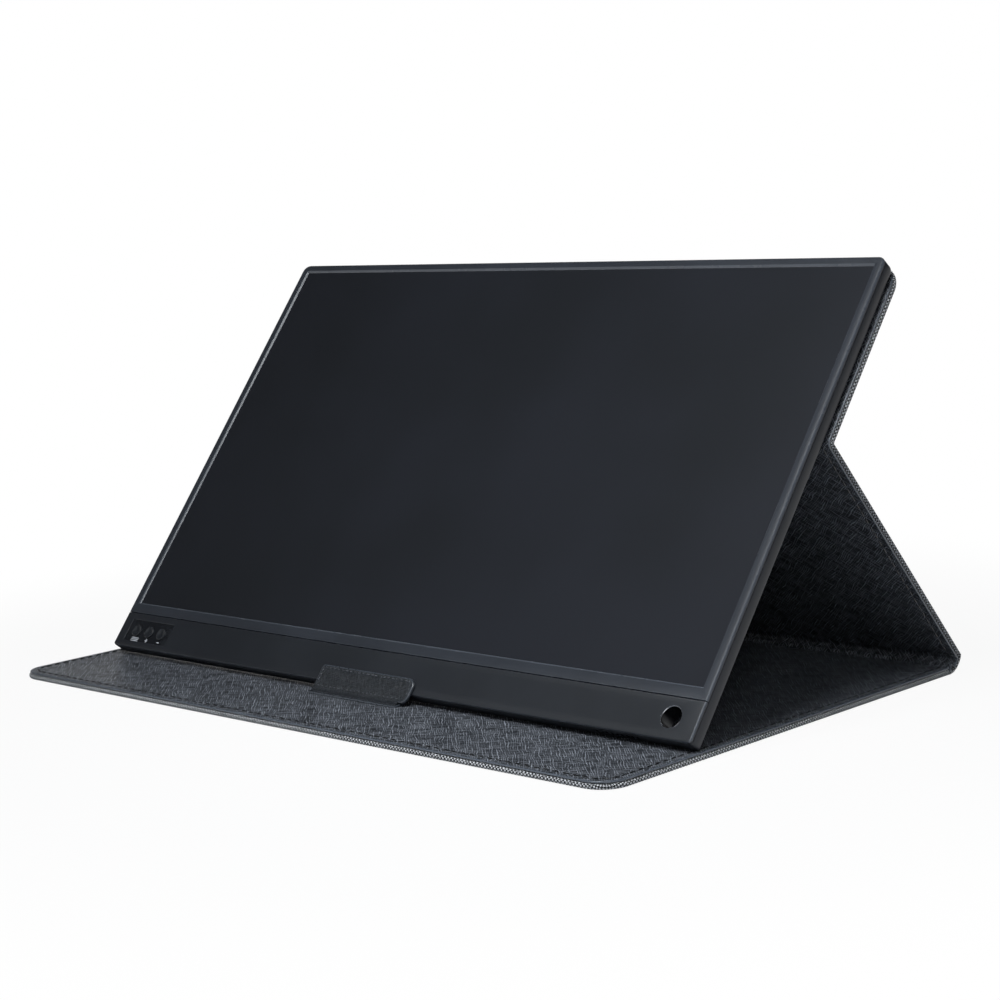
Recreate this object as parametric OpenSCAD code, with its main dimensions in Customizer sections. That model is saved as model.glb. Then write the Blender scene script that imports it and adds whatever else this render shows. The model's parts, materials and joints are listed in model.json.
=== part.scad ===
// Portable monitor in its folding stand cover, standing as a tent:
// a base panel on the table, a leg panel behind, and the display leaning on a tab.
// X runs across the screen, -Y is the viewer's side, +Z is up.
// The origin is under the middle of the whole object, on the table.

/* [Screen opening and frame] */
// Width of the opening in the front frame
opening_w = 347; // [300:0.5:380]
// Height of the opening in the front frame
opening_h = 196; // [170:0.2:220]
// Width of the front frame at each side
bezel_side = 4.75; // [4:0.05:9]
// Width of the front frame at the top
bezel_top = 4.5; // [3.8:0.1:9]
// Height of the seam between chin strip and front frame
strip_top = 18; // [16:0.2:24]
// Frame band between the chin strip and the opening
lower_band = 5; // [3.5:0.1:9]
// Corner radius of the monitor in front view
corner_r = 4; // [3:0.1:7]

/* [Monitor casing] */
// Thickness of the monitor, back face to front face
monitor_t = 8.6; // [8.4:0.1:12]
// Radius of the casing's rear edges
back_edge_r = 2.4; // [1.2:0.1:2.6]
// Depth of the front frame, from its face to its back
front_t = 2.2; // [2:0.1:2.8]
// Chamfer on the front frame's outer edge
front_chamfer = 0.8; // [0.2:0.05:0.8]
// Height of the shadow groove between frame and rear housing
groove_h = 0.4; // [0.2:0.05:0.8]
// Depth of the shadow groove
groove_depth = 0.6; // [0.3:0.05:0.9]
// Back wall of the rear housing
rear_wall = 1.2; // [1:0.1:1.5]
// Side wall of the rear housing
side_wall = 1.5; // [1.3:0.05:2]
// How far the screen's face lies behind the frame's face
screen_recess = 0.9; // [0.7:0.05:1.1]
// How far the screen panel reaches behind the frame's lip
panel_lap = 1.2; // [0.8:0.1:1.8]
// Thickness of the screen's glass
glass_t = 1; // [0.7:0.05:1.1]
// Thickness of the light guide with its films
guide_t = 1.2; // [0.8:0.05:1.3]
// Thickness of the screen's steel tray
tray_t = 0.3; // [0.2:0.05:0.4]
// Width of the light strip along the screen's lower edge
led_w = 2; // [1.5:0.1:3]

/* [Chin, keys and stand hole] */
// Thickness of the chin strip and of the front frame's rim
strip_t = 1.2; // [1:0.05:1.4]
// Width of the key plate
key_plate_w = 31.6; // [28:0.2:40]
// Height of the key plate
key_plate_h = 11.3; // [10:0.1:12]
// Distance from the monitor's left edge to the key plate
key_plate_edge = 6.2; // [4:0.1:12]
// Distance from the monitor's bottom edge to the key plate
key_plate_rise = 3.2; // [2.4:0.1:4]
// How far the key plate lies behind the chin's face
key_plate_sink = 0.2; // [0.1:0.05:0.4]
// Diameter of a key
key_d = 6; // [4:0.1:7]
// Distance from key to key
key_pitch = 9.2; // [8.6:0.1:11]
// How far a key stands out of the key plate
key_proud = 0.4; // [0.1:0.05:0.8]
// How far a key can be pressed in
key_travel = 0.6; // [0.3:0.05:0.7]
// Diameter of the stand hole through the chin
stand_hole_d = 9.2; // [6:0.1:11]
// Distance from the monitor's right edge to the stand hole's centre
stand_hole_edge = 13.25; // [11:0.25:20]
// Height of the stand hole's centre
stand_hole_rise = 9.2; // [8.4:0.1:10]
// Wall of the sleeve that lines the stand hole
sleeve_wall = 0.7; // [0.5:0.05:1]

/* [Electronics] */
// Thickness of the circuit boards
board_t = 0.8; // [0.6:0.1:0.9]
// Height of the boards above the housing's back wall
board_lift = 1.2; // [1:0.1:1.3]
// Width of the main board
main_board_w = 64; // [50:1:90]
// Height of the main board
main_board_h = 96; // [90:1:110]
// Height of the main board's lower edge
main_board_rise = 30; // [24:1:40]
// Width of the screen's driver board
driver_board_w = 180; // [120:2:190]
// Length of a speaker
speaker_w = 28; // [20:1:30]
// Width of a speaker
speaker_h = 11; // [8:0.5:11.5]
// Thickness of a speaker
speaker_t = 3; // [2:0.1:3.4]
// Width of the flat cable between the boards
ribbon_w = 12; // [8:0.5:16]

/* [Ports] */
// Height of the sound socket's centre
jack_rise = 52; // [46:0.5:56]
// Radius of the sound socket's bore
jack_bore_r = 1.8; // [1.76:0.02:1.9]
// Depth of the sound socket's bore
jack_depth = 12; // [10:0.5:14]
// Height of the picture socket's centre
video_rise = 70; // [66:0.5:74]
// Height of the lower power and data socket's centre
usb_rise = 89; // [85:0.5:93]
// Distance between the two power and data sockets
usb_pitch = 19; // [14:0.5:22]

/* [Stand cover] */
// Thickness of each stiff cover panel
panel_t = 3.2; // [2.8:0.1:5]
// Thickness of the woven fabric outside
fabric_t = 0.6; // [0.4:0.05:0.8]
// Thickness of the leather lining inside
liner_t = 0.8; // [0.6:0.05:1]
// Width of the fabric turned in round each edge, under the lining
hem_w = 2; // [1.5:0.1:4]
// Distance from a panel's edge to its lining
liner_edge = 0.6; // [0.4:0.1:1.4]
// Cover beyond the monitor at each side
cover_margin = 4.4; // [3:0.05:9]
// Cover beyond the monitor's top edge
cover_top = 2.5; // [1:0.1:6]
// Sideways offset of the monitor on the cover
monitor_shift = 2.8; // [0:0.1:2.9]
// Corner radius of the base panel's front corners
base_corner_r = 12; // [6:0.5:24]
// Corner radius of the upper panel's top corners
upper_corner_r = 12; // [6:0.5:24]
// Thickness of the steel plate on the monitor's back
back_plate_t = 0.3; // [0.25:0.05:0.5]

/* [Stand geometry] */
// Tilt of the screen from the table
tilt = 51.6; // [48:0.2:58]
// Distance from the monitor's bottom edge up its back to the crease
crease_rise = 140.5; // [132:0.5:148]
// Length of the leg panel
leg_len = 137.5; // [134:0.5:146]
// Base panel in front of the line where the monitor stands
front_lip = 56.5; // [40:0.5:70]
// Outer bend radius of the spine
spine_r = 4.6; // [4:0.1:6]
// Flat part of the spine behind the base panel
spine_flat = 6.8; // [4:0.1:12]
// Radius of a pleat in the spine's lining
pleat_r = 1.3; // [0.8:0.05:1.5]
// Clearance between a panel's end and the line it folds on
fold_gap = 0.3; // [0.2:0.05:0.6]

/* [Front tab] */
// Width of the tab
tab_w = 58; // [40:0.5:90]
// Height of the tab's leaf
leaf_h = 12.6; // [9:0.1:14]
// Thickness of the leaf
leaf_t = 1.4; // [1.2:0.05:2]
// Corner radius of the leaf
leaf_corner_r = 4; // [2:0.1:5]
// Thickness of the flange sewn to the base
flange_t = 0.9; // [0.6:0.05:1.2]
// Flange in front of the leaf's fold
flange_front = 4; // [3:0.1:8]
// Flange behind the leaf's fold
flange_back = 3; // [2:0.1:5]

/* [Hidden] */

// Smoothness of the true rounds, and of the casing's blended rear edges
$fn = 48;
blend_fn = 32;
// Overlap that lets a cut pass right through a face
cut = 1;
// Clearance between pieces that move past each other, and between fitted parts
run_gap = 0.3;
fit_gap = 0.1;

// Monitor outline and levels, measured from its back face
monitor_w = opening_w + 2 * bezel_side;
chin_h = strip_top + lower_band;
monitor_h = chin_h + opening_h + bezel_top;
front_level = monitor_t - front_t;
frame_inset = side_wall + fit_gap;
strip_level = monitor_t - strip_t;
glass_level = monitor_t - screen_recess - glass_t;
guide_level = glass_level - guide_t;
tray_level = guide_level - tray_t;
board_level = rear_wall + board_lift;
board_top = board_level + board_t;

// Screen panel behind the frame's lip
panel_w = opening_w + 2 * panel_lap;
panel_s0 = chin_h - panel_lap;
panel_h = opening_h + 2 * panel_lap;

// Keys and key plate
key_plate_x = -monitor_w / 2 + key_plate_edge + key_plate_w / 2;
key_plate_s = key_plate_rise + key_plate_h / 2;
key_plate_t = strip_t - key_plate_sink;
key_hole_gap = 0.2;
key_flange_lap = 0.7;
key_flange_t = 0.6;
key_flange_top = strip_level - fit_gap;
key_well_r = key_d / 2 + key_flange_lap + key_hole_gap;
key_stem_r = 1.5;
key_names = ["menu_key", "plus_key", "minus_key"];
switch_side = 4;
switch_t = 1.2;
plunger_r = 0.8;
plunger_t = 0.3;
switch_top = board_top + switch_t + plunger_t;

// Stand hole
stand_hole_x = monitor_w / 2 - stand_hole_edge;
sleeve_r = stand_hole_d / 2 + sleeve_wall;

// Casing screws in the chin
screw_x = [-98, -33, 33, 98];
screw_s = 5.4;
screw_r = 0.8;
screw_boss_r = 2;
screw_head_r = 1.7;
screw_head_t = 0.6;
screw_head_sink = 0.1;
screw_tip_gap = 0.6;

// Left edge of the casing's inside, where the sockets stand
inner_left = -monitor_w / 2 + side_wall;
socket_level = board_level + board_t / 2;
usb_w = 9;
usb_t = 3.2;
usb_depth = 7.4;
video_w = 11.2;
video_t = 3.2;
video_depth = 7.6;
shell_wall = 0.35;
tongue_t = 0.7;
jack_r = 2.3;
jack_end = 1;
socket_gap = 0.4;
socket_mouth = inner_left - side_wall + 0.2;

// Driver board, above the screws
driver_board_h = 6;
driver_board_s = screw_s + screw_boss_r + 2.4;

// Speakers stand beside the keys and beside the stand hole
speaker_s = 9.6;
speaker_left_x = key_plate_x + key_plate_w / 2 + 22;
speaker_right_x = stand_hole_x - sleeve_r - 6 - speaker_w / 2;

// Back plate and magnets
back_plate_w = 240;
back_plate_h = 52;
back_plate_s = (crease_rise + monitor_h) / 2;
magnet_w = 34;
magnet_h = 9;
magnet_count = 5;
magnet_pitch = 48;
base_magnet_r = 5;
base_magnet_edge = hem_w + base_magnet_r + 5;

// Cover outline
cover_w = monitor_w + 2 * cover_margin;
liner_level = panel_t - liner_t;
board_thick = liner_level - fabric_t;
upper_len = monitor_h + cover_top - crease_rise;
back_gap = back_plate_t;

// The monitor's rounded rear bottom edge stands run_gap above the base lining
stand_z = panel_t + run_gap - back_edge_r * (sin(tilt) + cos(tilt) - 1);
// The crease line, on the outer face of the fabric, from the monitor's stand line
crease_off = panel_t + back_gap;
crease_dy = crease_rise * cos(tilt) + crease_off * sin(tilt);
crease_z = stand_z + crease_rise * sin(tilt) - crease_off * cos(tilt);
// Angle of the leg panel above the table, so that its foot meets the spine's bend
leg_angle = asin((crease_z - spine_r) / norm([leg_len, spine_r])) - atan(spine_r / leg_len);
leg_foot_dy = crease_dy + leg_len * cos(leg_angle);
leg_foot_z = spine_r * (1 + cos(leg_angle));
spine_dy = leg_foot_dy - spine_r * sin(leg_angle);
base_rear_dy = spine_dy - spine_flat;
// The object's origin lies halfway between its front edge and the spine's back
stand_y = (front_lip - spine_dy - spine_r) / 2;
base_front_y = stand_y - front_lip;
base_rear_y = stand_y + base_rear_dy;
base_depth = base_rear_y - base_front_y;
spine_y = stand_y + spine_dy;
crease_y = stand_y + crease_dy;
leg_foot_y = stand_y + leg_foot_dy;
crease_fold = 180 - tilt - leg_angle;

// Tab: the leaf turns on the line through its round lower end, just clear of the chin
// behind it and of the flange below it
leaf_back = monitor_t + run_gap;
leaf_mid = leaf_back + leaf_t / 2;
tab_fold_z = panel_t + flange_t + run_gap + leaf_t / 2;
tab_fold_s = (tab_fold_z - stand_z - leaf_mid * cos(tilt)) / sin(tilt);
tab_fold_y = stand_y + tab_fold_s * cos(tilt) - leaf_mid * sin(tilt);
stiffener_t = 0.5;
stiffener_rim = 2.5;

// Outline with square or rounded corners: r0 at its y0 end, r1 at its y1 end
module outline(w, y0, y1, r0 = 0, r1 = 0) {
    translate([-w / 2, y0 + r0]) square([w, y1 - y0 - r0 - r1]);
    for (end = [[y0 + r0, r0, y0], [y1 - r1, r1, y1 - r1]])
        if (end[1] > 0) {
            translate([-w / 2 + end[1], end[2]]) square([w - 2 * end[1], end[1]]);
            for (side = [-1, 1])
                translate([side * (w / 2 - end[1]), end[0]]) circle(r = end[1]);
        }
}

// Flat plate between two levels, with the outline above
module plate(w, y0, y1, level, t, r0 = 0, r1 = 0) {
    translate([0, 0, level]) linear_extrude(t) outline(w, y0, y1, r0, r1);
}

// Box given by its middle in x and its lowest y and z
module slab(x, y, z, size) {
    translate([x - size[0] / 2, y, z]) cube(size);
}

// Frame of the display: x across, y up the screen, z from the back face to the front
module in_display() {
    translate([0, stand_y, stand_z]) rotate([tilt, 0, 0]) children();
}

// The same frame, moved to the monitor's own middle
module in_monitor() {
    in_display() translate([monitor_shift, 0, 0]) children();
}

// Frame of the leg panel: y up the leg from its foot, z from the fabric to the lining
module in_leg() {
    translate([0, leg_foot_y, leg_foot_z]) rotate([180 - leg_angle, 0, 0]) children();
}

// Layer of a stiff panel, inset from the panel's outline
module panel_layer(inset, y0, y1, level, t, r0 = 0, r1 = 0) {
    plate(cover_w - 2 * inset, y0 + inset, y1 - inset, level, t,
        max(r0 - inset, 0), max(r1 - inset, 0));
}

// Stiff panel's fabric: a tray with its edges turned up and in
module panel_fabric(y0, y1, r0 = 0, r1 = 0) {
    difference() {
        plate(cover_w, y0, y1, 0, liner_level, r0, r1);
        panel_layer(hem_w, y0, y1, fabric_t, panel_t, r0, r1);
    }
}

// Board that fills the tray
module panel_board(y0, y1, r0 = 0, r1 = 0) {
    panel_layer(hem_w, y0, y1, fabric_t, board_thick, r0, r1);
}

// Lining over the board and the turned-in fabric
module panel_liner(y0, y1, r0 = 0, r1 = 0) {
    panel_layer(liner_edge, y0, y1, liner_level, liner_t, r0, r1);
}

// ---- Monitor casing ----

// Front of the casing: the whole outline with its chamfered edge
module front_rim() {
    hull() {
        plate(monitor_w, 0, monitor_h, strip_level, strip_t - front_chamfer,
            corner_r, corner_r, $fn = blend_fn);
        plate(monitor_w - 2 * front_chamfer, front_chamfer, monitor_h - front_chamfer,
            strip_level, strip_t, corner_r - front_chamfer, corner_r - front_chamfer,
            $fn = blend_fn);
    }
}

// The chin's share of that front, up to a height, above a level
module chin_space(top, level) {
    slab(0, -cut, level, [monitor_w + 2 * cut, top + cut, strip_t + 2 * cut]);
}

// Front frame: rim round the screen opening, and a body inside the housing that also
// carries the chin strip
module front_frame() {
    color("#3b3e47") in_monitor() {
        difference() {
            union() {
                front_rim();
                plate(monitor_w - 2 * frame_inset, frame_inset, monitor_h - frame_inset,
                    front_level, front_t - strip_t + fit_gap, corner_r - frame_inset,
                    corner_r - frame_inset);
                for (x = screw_x)
                    translate([x, screw_s, rear_wall])
                        cylinder(r = screw_boss_r, h = front_level - rear_wall + fit_gap);
            }
            slab(0, chin_h, front_level - cut, [opening_w, opening_h, front_t + 2 * cut]);
            slab(0, panel_s0 - fit_gap, front_level - cut,
                [panel_w + 2 * fit_gap, panel_h + 2 * fit_gap,
                    cut + front_t - screen_recess]);
            chin_space(strip_top, strip_level);
            for (i = [0 : 2]) translate([key_x(i), key_plate_s, front_level - cut])
                cylinder(r = key_well_r, h = front_t + cut);
            translate([stand_hole_x, stand_hole_rise, front_level - cut])
                cylinder(r = sleeve_r, h = front_t + cut);
            for (x = screw_x)
                translate([x, screw_s, rear_wall - cut])
                    cylinder(r = screw_r, h = strip_level - rear_wall - screw_tip_gap + cut);
        }
    }
}

// Chin strip, flush with the frame's rim, with a window for the key plate
module chin_strip() {
    color("#33363e") in_monitor() difference() {
        intersection() {
            front_rim();
            chin_space(strip_top - fit_gap, strip_level - cut);
        }
        slab(key_plate_x, key_plate_rise, strip_level - cut,
            [key_plate_w, key_plate_h, strip_t + 2 * cut]);
        translate([stand_hole_x, stand_hole_rise, strip_level - cut])
            cylinder(r = sleeve_r, h = strip_t + 2 * cut);
    }
}

// Rear housing: a tray with rounded rear edges and an inset lip for the shadow groove
module rear_housing() {
    color("#2e3138") in_monitor() difference() {
        union() {
            hull() {
                plate(monitor_w, 0, monitor_h, back_edge_r,
                    strip_level - groove_h - back_edge_r, corner_r, corner_r, $fn = blend_fn);
                for (a = [0 : 22.5 : 67.5])
                    housing_layer(back_edge_r * (1 - sin(a)), back_edge_r * (1 - cos(a)));
            }
            plate(monitor_w - 2 * groove_depth, groove_depth, monitor_h - groove_depth,
                back_edge_r, strip_level - back_edge_r, corner_r - groove_depth,
                corner_r - groove_depth);
        }
        plate(monitor_w - 2 * side_wall, side_wall, monitor_h - side_wall, rear_wall,
            monitor_t, corner_r - side_wall, corner_r - side_wall);
        for (x = screw_x) translate([x, screw_s, 0]) {
            translate([0, 0, -cut]) cylinder(r = screw_r + fit_gap, h = rear_wall + 2 * cut);
            translate([0, 0, -cut])
                cylinder(r = screw_head_r + fit_gap, h = cut + screw_head_sink + screw_head_t);
        }
        translate([stand_hole_x, stand_hole_rise, -cut])
            cylinder(r = sleeve_r, h = rear_wall + 2 * cut);
        for (rise = usb_rises()) socket_window(rise, usb_w, usb_t);
        socket_window(video_rise, video_w, video_t);
        // The sound socket lies in a groove in the back wall
        translate([socket_mouth - cut, jack_rise, socket_level])
            rotate([0, 90, 0]) cylinder(r = jack_r, h = cut + jack_depth + jack_end);
    }
}

// One thin layer of the rounded rear edge, inset from the outline
module housing_layer(level, inset) {
    plate(monitor_w - 2 * inset, inset, monitor_h - inset, level, 0.05,
        corner_r - inset, corner_r - inset, $fn = blend_fn);
}

// Window in the left side wall for one socket
module socket_window(rise, w, t) {
    translate([inner_left - side_wall - cut, rise - w / 2, socket_level - t / 2])
        cube([side_wall + cut, w, t]);
}

// Sleeve that lines the stand hole from the front face to the back face
module stand_hole_sleeve() {
    color("#8d9098") in_monitor() translate([stand_hole_x, stand_hole_rise, 0])
        difference() {
            cylinder(r = sleeve_r, h = monitor_t);
            translate([0, 0, -cut]) cylinder(d = stand_hole_d, h = monitor_t + 2 * cut);
        }
}

// Steel plate on the monitor's back, which the cover's magnets hold
module back_plate() {
    color("#9a9ca0") in_monitor()
        slab(0, back_plate_s - back_plate_h / 2, -back_plate_t,
            [back_plate_w, back_plate_h, back_plate_t]);
}

// Four screws through the rear housing into the front frame's bosses
module housing_screws() {
    color("#55575c") in_monitor() for (x = screw_x)
        translate([x, screw_s, screw_head_sink]) {
            cylinder(r = screw_head_r, h = screw_head_t);
            cylinder(r = screw_r, h = strip_level - 2 * screw_tip_gap - screw_head_sink);
        }
}

// ---- Keys ----

// Middle of key i across the monitor
function key_x(i) = key_plate_x + (i - 1) * key_pitch;

// Glossy plate round the three keys
module key_plate() {
    color("#24262c") in_monitor() difference() {
        slab(key_plate_x, key_plate_rise, strip_level,
            [key_plate_w, key_plate_h, key_plate_t]);
        for (i = [0 : 2]) translate([key_x(i), key_plate_s, strip_level - cut])
            cylinder(r = key_d / 2 + key_hole_gap, h = key_plate_t + 2 * cut);
    }
}

// One key: cap, captive flange behind the key plate, and stem towards its switch
module key(i) {
    stem_h = key_flange_top - key_flange_t - switch_top - key_travel - fit_gap;
    color("#2d3037") in_monitor() translate([key_x(i), key_plate_s, 0]) {
        translate([0, 0, key_flange_top - key_flange_t])
            cylinder(d = key_d,
                h = key_flange_t + fit_gap + key_plate_t + key_proud);
        translate([0, 0, key_flange_top - key_flange_t])
            cylinder(r = key_d / 2 + key_flange_lap, h = key_flange_t);
        translate([0, 0, key_flange_top - key_flange_t - stem_h])
            cylinder(r = key_stem_r, h = stem_h + fit_gap);
    }
}

module menu_key() { key(0); }
module plus_key() { key(1); }
module minus_key() { key(2); }

// Small board behind the keys, on feet of its own
module key_board() {
    color("#2f5d3a") in_monitor() {
        slab(key_plate_x, key_plate_rise, board_level, [key_plate_w, key_plate_h, board_t]);
        for (side = [-1, 1])
            slab(key_plate_x + side * (key_plate_w / 2 - 2), key_plate_rise + 1, rear_wall,
                [2, key_plate_h - 2, board_lift]);
    }
}

// Three push switches on the key board
module key_switches() {
    color("#c9cbd0") in_monitor() for (i = [0 : 2]) {
        slab(key_x(i), key_plate_s - switch_side / 2, board_top,
            [switch_side, switch_side, switch_t]);
        translate([key_x(i), key_plate_s, board_top])
            cylinder(r = plunger_r, h = switch_t + plunger_t);
    }
}

// ---- Screen ----

module screen_glass() {
    color("#15171b") in_monitor()
        slab(0, panel_s0, glass_level, [panel_w, panel_h, glass_t]);
}

module light_guide() {
    color("#dfe3e6") in_monitor()
        slab(0, panel_s0 + led_w, guide_level, [panel_w, panel_h - led_w, guide_t]);
}

module light_strip() {
    color("#f2efe0") in_monitor()
        slab(0, panel_s0, guide_level, [panel_w, led_w - fit_gap, guide_t]);
}

module screen_tray() {
    color("#a9abad") in_monitor()
        slab(0, panel_s0, tray_level, [panel_w, panel_h, tray_t]);
}

// ---- Electronics ----

// Main board on feet, with a notch for each socket along the left side
module main_board() {
    foot = 4;
    left = inner_left + socket_gap;
    color("#24512f") in_monitor() {
        difference() {
            translate([left, main_board_rise, board_level])
                cube([main_board_w, main_board_h, board_t]);
            for (rise = usb_rises()) board_notch(rise, usb_w, usb_depth);
            board_notch(video_rise, video_w, video_depth);
            board_notch(jack_rise, 2 * jack_r, jack_depth + jack_end);
        }
        for (x = [left + main_board_w / 2, left + main_board_w - foot],
            s = [main_board_rise + 2, main_board_rise + main_board_h - foot - 2])
            translate([x, s, rear_wall]) cube([foot, foot, board_lift]);
        // Controller chip and power converter
        translate([left + 24, main_board_rise + 38, board_top]) cube([14, 14, 0.9]);
        translate([left + 24, main_board_rise + 64, board_top]) cube([10, 8, 0.9]);
    }
}

// Notch in the main board that a socket stands in
module board_notch(rise, w, depth) {
    translate([inner_left - cut, rise - w / 2 - fit_gap, board_level - cut])
        cube([depth + cut + fit_gap, w + 2 * fit_gap, board_t + 2 * cut]);
}

// Long thin board below the screen that drives it
module driver_board() {
    foot = [5, 4, board_lift];
    color("#24512f") in_monitor() {
        slab(0, driver_board_s, board_level, [driver_board_w, driver_board_h, board_t]);
        for (side = [-1, 1])
            slab(side * (driver_board_w / 2 - foot[0]), driver_board_s + 1, rear_wall, foot);
    }
}

// Flat cable that lies on both boards and passes above the left speaker
module ribbon_cable() {
    ribbon_t = 0.3;
    end_lap = 5;
    bend_h = 4;
    x_main = inner_left + socket_gap + main_board_w - 2 - ribbon_w;
    x_driver = -driver_board_w / 2 + 6;
    s_bend = speaker_s + speaker_h / 2 + 1;
    color("#c8a24a") in_monitor() translate([0, 0, board_top]) {
        translate([x_main, s_bend, 0])
            cube([ribbon_w, main_board_rise + end_lap - s_bend, ribbon_t]);
        translate([x_main, s_bend, 0])
            cube([x_driver + ribbon_w - x_main, bend_h, ribbon_t]);
        translate([x_driver, driver_board_s + 1, 0])
            cube([ribbon_w, s_bend - driver_board_s, ribbon_t]);
    }
}

// Flat speaker that fires down at the base panel
module speaker(x) {
    color("#1c1d20") in_monitor()
        slab(x, speaker_s - speaker_h / 2, rear_wall, [speaker_w, speaker_h, speaker_t]);
}

module speaker_left() { speaker(speaker_left_x); }
module speaker_right() { speaker(speaker_right_x); }

// ---- Sockets on the left side ----

function usb_rises() = [usb_rise, usb_rise + usb_pitch];

// Metal socket: an open shell with a closed back, and a tongue inside
module shell_socket(rise, w, t, depth) {
    translate([socket_mouth, rise - w / 2, socket_level - t / 2]) difference() {
        cube([depth, w, t]);
        translate([-cut, shell_wall, shell_wall])
            cube([depth - 1 + cut, w - 2 * shell_wall, t - 2 * shell_wall]);
    }
    translate([socket_mouth + 1, rise - w / 3, socket_level - tongue_t / 2])
        cube([depth - 1.5, w * 2 / 3, tongue_t]);
}

module usb_socket(i) {
    color("#b9bbbf") in_monitor() shell_socket(usb_rises()[i], usb_w, usb_t, usb_depth);
}

module usb_socket_lower() { usb_socket(0); }
module usb_socket_upper() { usb_socket(1); }

module video_socket() {
    color("#b9bbbf") in_monitor() shell_socket(video_rise, video_w, video_t, video_depth);
}

// Round socket for a sound plug, closed at its inner end
module sound_socket() {
    color("#202124") in_monitor() translate([socket_mouth, jack_rise, socket_level])
        rotate([0, 90, 0]) difference() {
            cylinder(r = jack_r, h = jack_depth + jack_end);
            translate([0, 0, -cut]) cylinder(r = jack_bore_r, h = jack_depth + cut);
        }
}

// ---- Cover: base panel ----

module base_fabric() {
    color("#8a8b90") panel_fabric(base_front_y, base_rear_y, base_corner_r);
}

module base_board() {
    color("#6f6a60") difference() {
        panel_board(base_front_y, base_rear_y, base_corner_r);
        for (x = base_magnet_xs())
            translate([x, base_front_y + base_magnet_edge, fabric_t - cut])
                cylinder(r = base_magnet_r, h = board_thick + 2 * cut);
    }
}

module base_liner() {
    color("#3a3e47") panel_liner(base_front_y, base_rear_y, base_corner_r);
}

function base_magnet_xs() = [for (side = [-1, 1], k = [0.3, 0.7]) side * k * cover_w / 2];

// Closing magnets in the base panel's front edge
module base_magnets() {
    color("#b5b7ba") for (x = base_magnet_xs())
        translate([x, base_front_y + base_magnet_edge, fabric_t])
            cylinder(r = base_magnet_r, h = board_thick);
}

// ---- Cover: spine ----

// Outer fabric: flat behind the base panel, then bent up to the leg panel's foot
module spine_fabric() {
    color("#8a8b90") {
        slab(0, base_rear_y, 0, [cover_w, spine_y - base_rear_y, fabric_t]);
        spine_bend(spine_r, spine_r - fabric_t);
    }
}

// Pleated lining inside the bend, with three sewn pleats
module spine_liner() {
    r_out = spine_r - fabric_t;
    r_in = r_out - liner_t;
    color("#33363f") {
        slab(0, base_rear_y, fabric_t, [cover_w, spine_y - base_rear_y, liner_t]);
        spine_bend(r_out, r_in);
        pleat(base_rear_y + spine_flat / 2, fabric_t + pleat_r);
        for (a = [-50, 15])
            pleat(spine_y + (r_out - pleat_r) * cos(a), spine_r + (r_out - pleat_r) * sin(a));
    }
}

// Part of a tube about the spine's bend line, from below it round to the leg's foot
module spine_bend(r_out, r_in) {
    translate([-cover_w / 2, spine_y, spine_r]) rotate([90, 0, 90])
        rotate([0, 0, -90]) linear_extrude(cover_w) difference() {
            intersection() {
                circle(r = r_out);
                polygon([[0, 0], for (k = [0 : 4])
                    2 * spine_r * [cos(k * (180 - leg_angle) / 4),
                        sin(k * (180 - leg_angle) / 4)]]);
            }
            circle(r = r_in);
        }
}

// One pleat along the spine
module pleat(y, z) {
    translate([-cover_w / 2 + liner_edge, y, z]) rotate([0, 90, 0])
        cylinder(r = pleat_r, h = cover_w - 2 * liner_edge);
}

// ---- Cover: leg panel ----

module leg_fabric() {
    color("#8a8b90") in_leg() panel_fabric(fold_gap, leg_len - fold_gap);
}

module leg_board() {
    color("#6f6a60") in_leg() panel_board(fold_gap, leg_len - fold_gap);
}

module leg_liner() {
    color("#3a3e47") in_leg() panel_liner(fold_gap, leg_len - fold_gap);
}

// Lining across the crease, bent round the line where leg and upper panel fold
module crease_strip() {
    color("#2b2e36") translate([-cover_w / 2 + liner_edge, crease_y, crease_z])
        rotate([90, 0, 90]) rotate([0, 0, 90 + tilt])
            linear_extrude(cover_w - 2 * liner_edge) difference() {
                intersection() {
                    circle(r = panel_t);
                    polygon([[0, 0], for (k = [0 : 3])
                        2 * panel_t * [cos(k * crease_fold / 3), sin(k * crease_fold / 3)]]);
                }
                circle(r = liner_level);
            }
}

// ---- Cover: upper panel on the monitor's back ----

module in_upper() {
    in_display() translate([0, crease_rise, -back_gap - panel_t]) children();
}

module upper_fabric() {
    color("#8a8b90") in_upper() panel_fabric(fold_gap, upper_len, 0, upper_corner_r);
}

module upper_board() {
    color("#6f6a60") in_upper() difference() {
        panel_board(fold_gap, upper_len, 0, upper_corner_r);
        for (x = magnet_xs())
            slab(x, magnet_y() - magnet_h / 2, fabric_t - cut,
                [magnet_w, magnet_h, board_thick + 2 * cut]);
    }
}

module upper_liner() {
    color("#3a3e47") in_upper() panel_liner(fold_gap, upper_len, 0, upper_corner_r);
}

function magnet_xs() = [for (i = [0 : magnet_count - 1])
    monitor_shift + (i - (magnet_count - 1) / 2) * magnet_pitch];
function magnet_y() = back_plate_s - crease_rise;

// Bar magnets in the upper panel that hold the monitor's back plate
module upper_magnets() {
    color("#b5b7ba") in_upper() for (x = magnet_xs())
        slab(x, magnet_y() - magnet_h / 2, fabric_t, [magnet_w, magnet_h, board_thick]);
}

// ---- Front tab ----

// Frame of the leaf: its fold line is the x axis, y runs up the leaf, z to its front
module in_leaf() {
    in_display() translate([0, tab_fold_s, leaf_mid]) children();
}

// Flange sewn to the base lining, under the leaf's fold
module tab_flange() {
    color("#33363f") plate(tab_w, tab_fold_y - flange_front, tab_fold_y + flange_back,
        panel_t, flange_t, flange_front / 2, 0);
}

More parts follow.
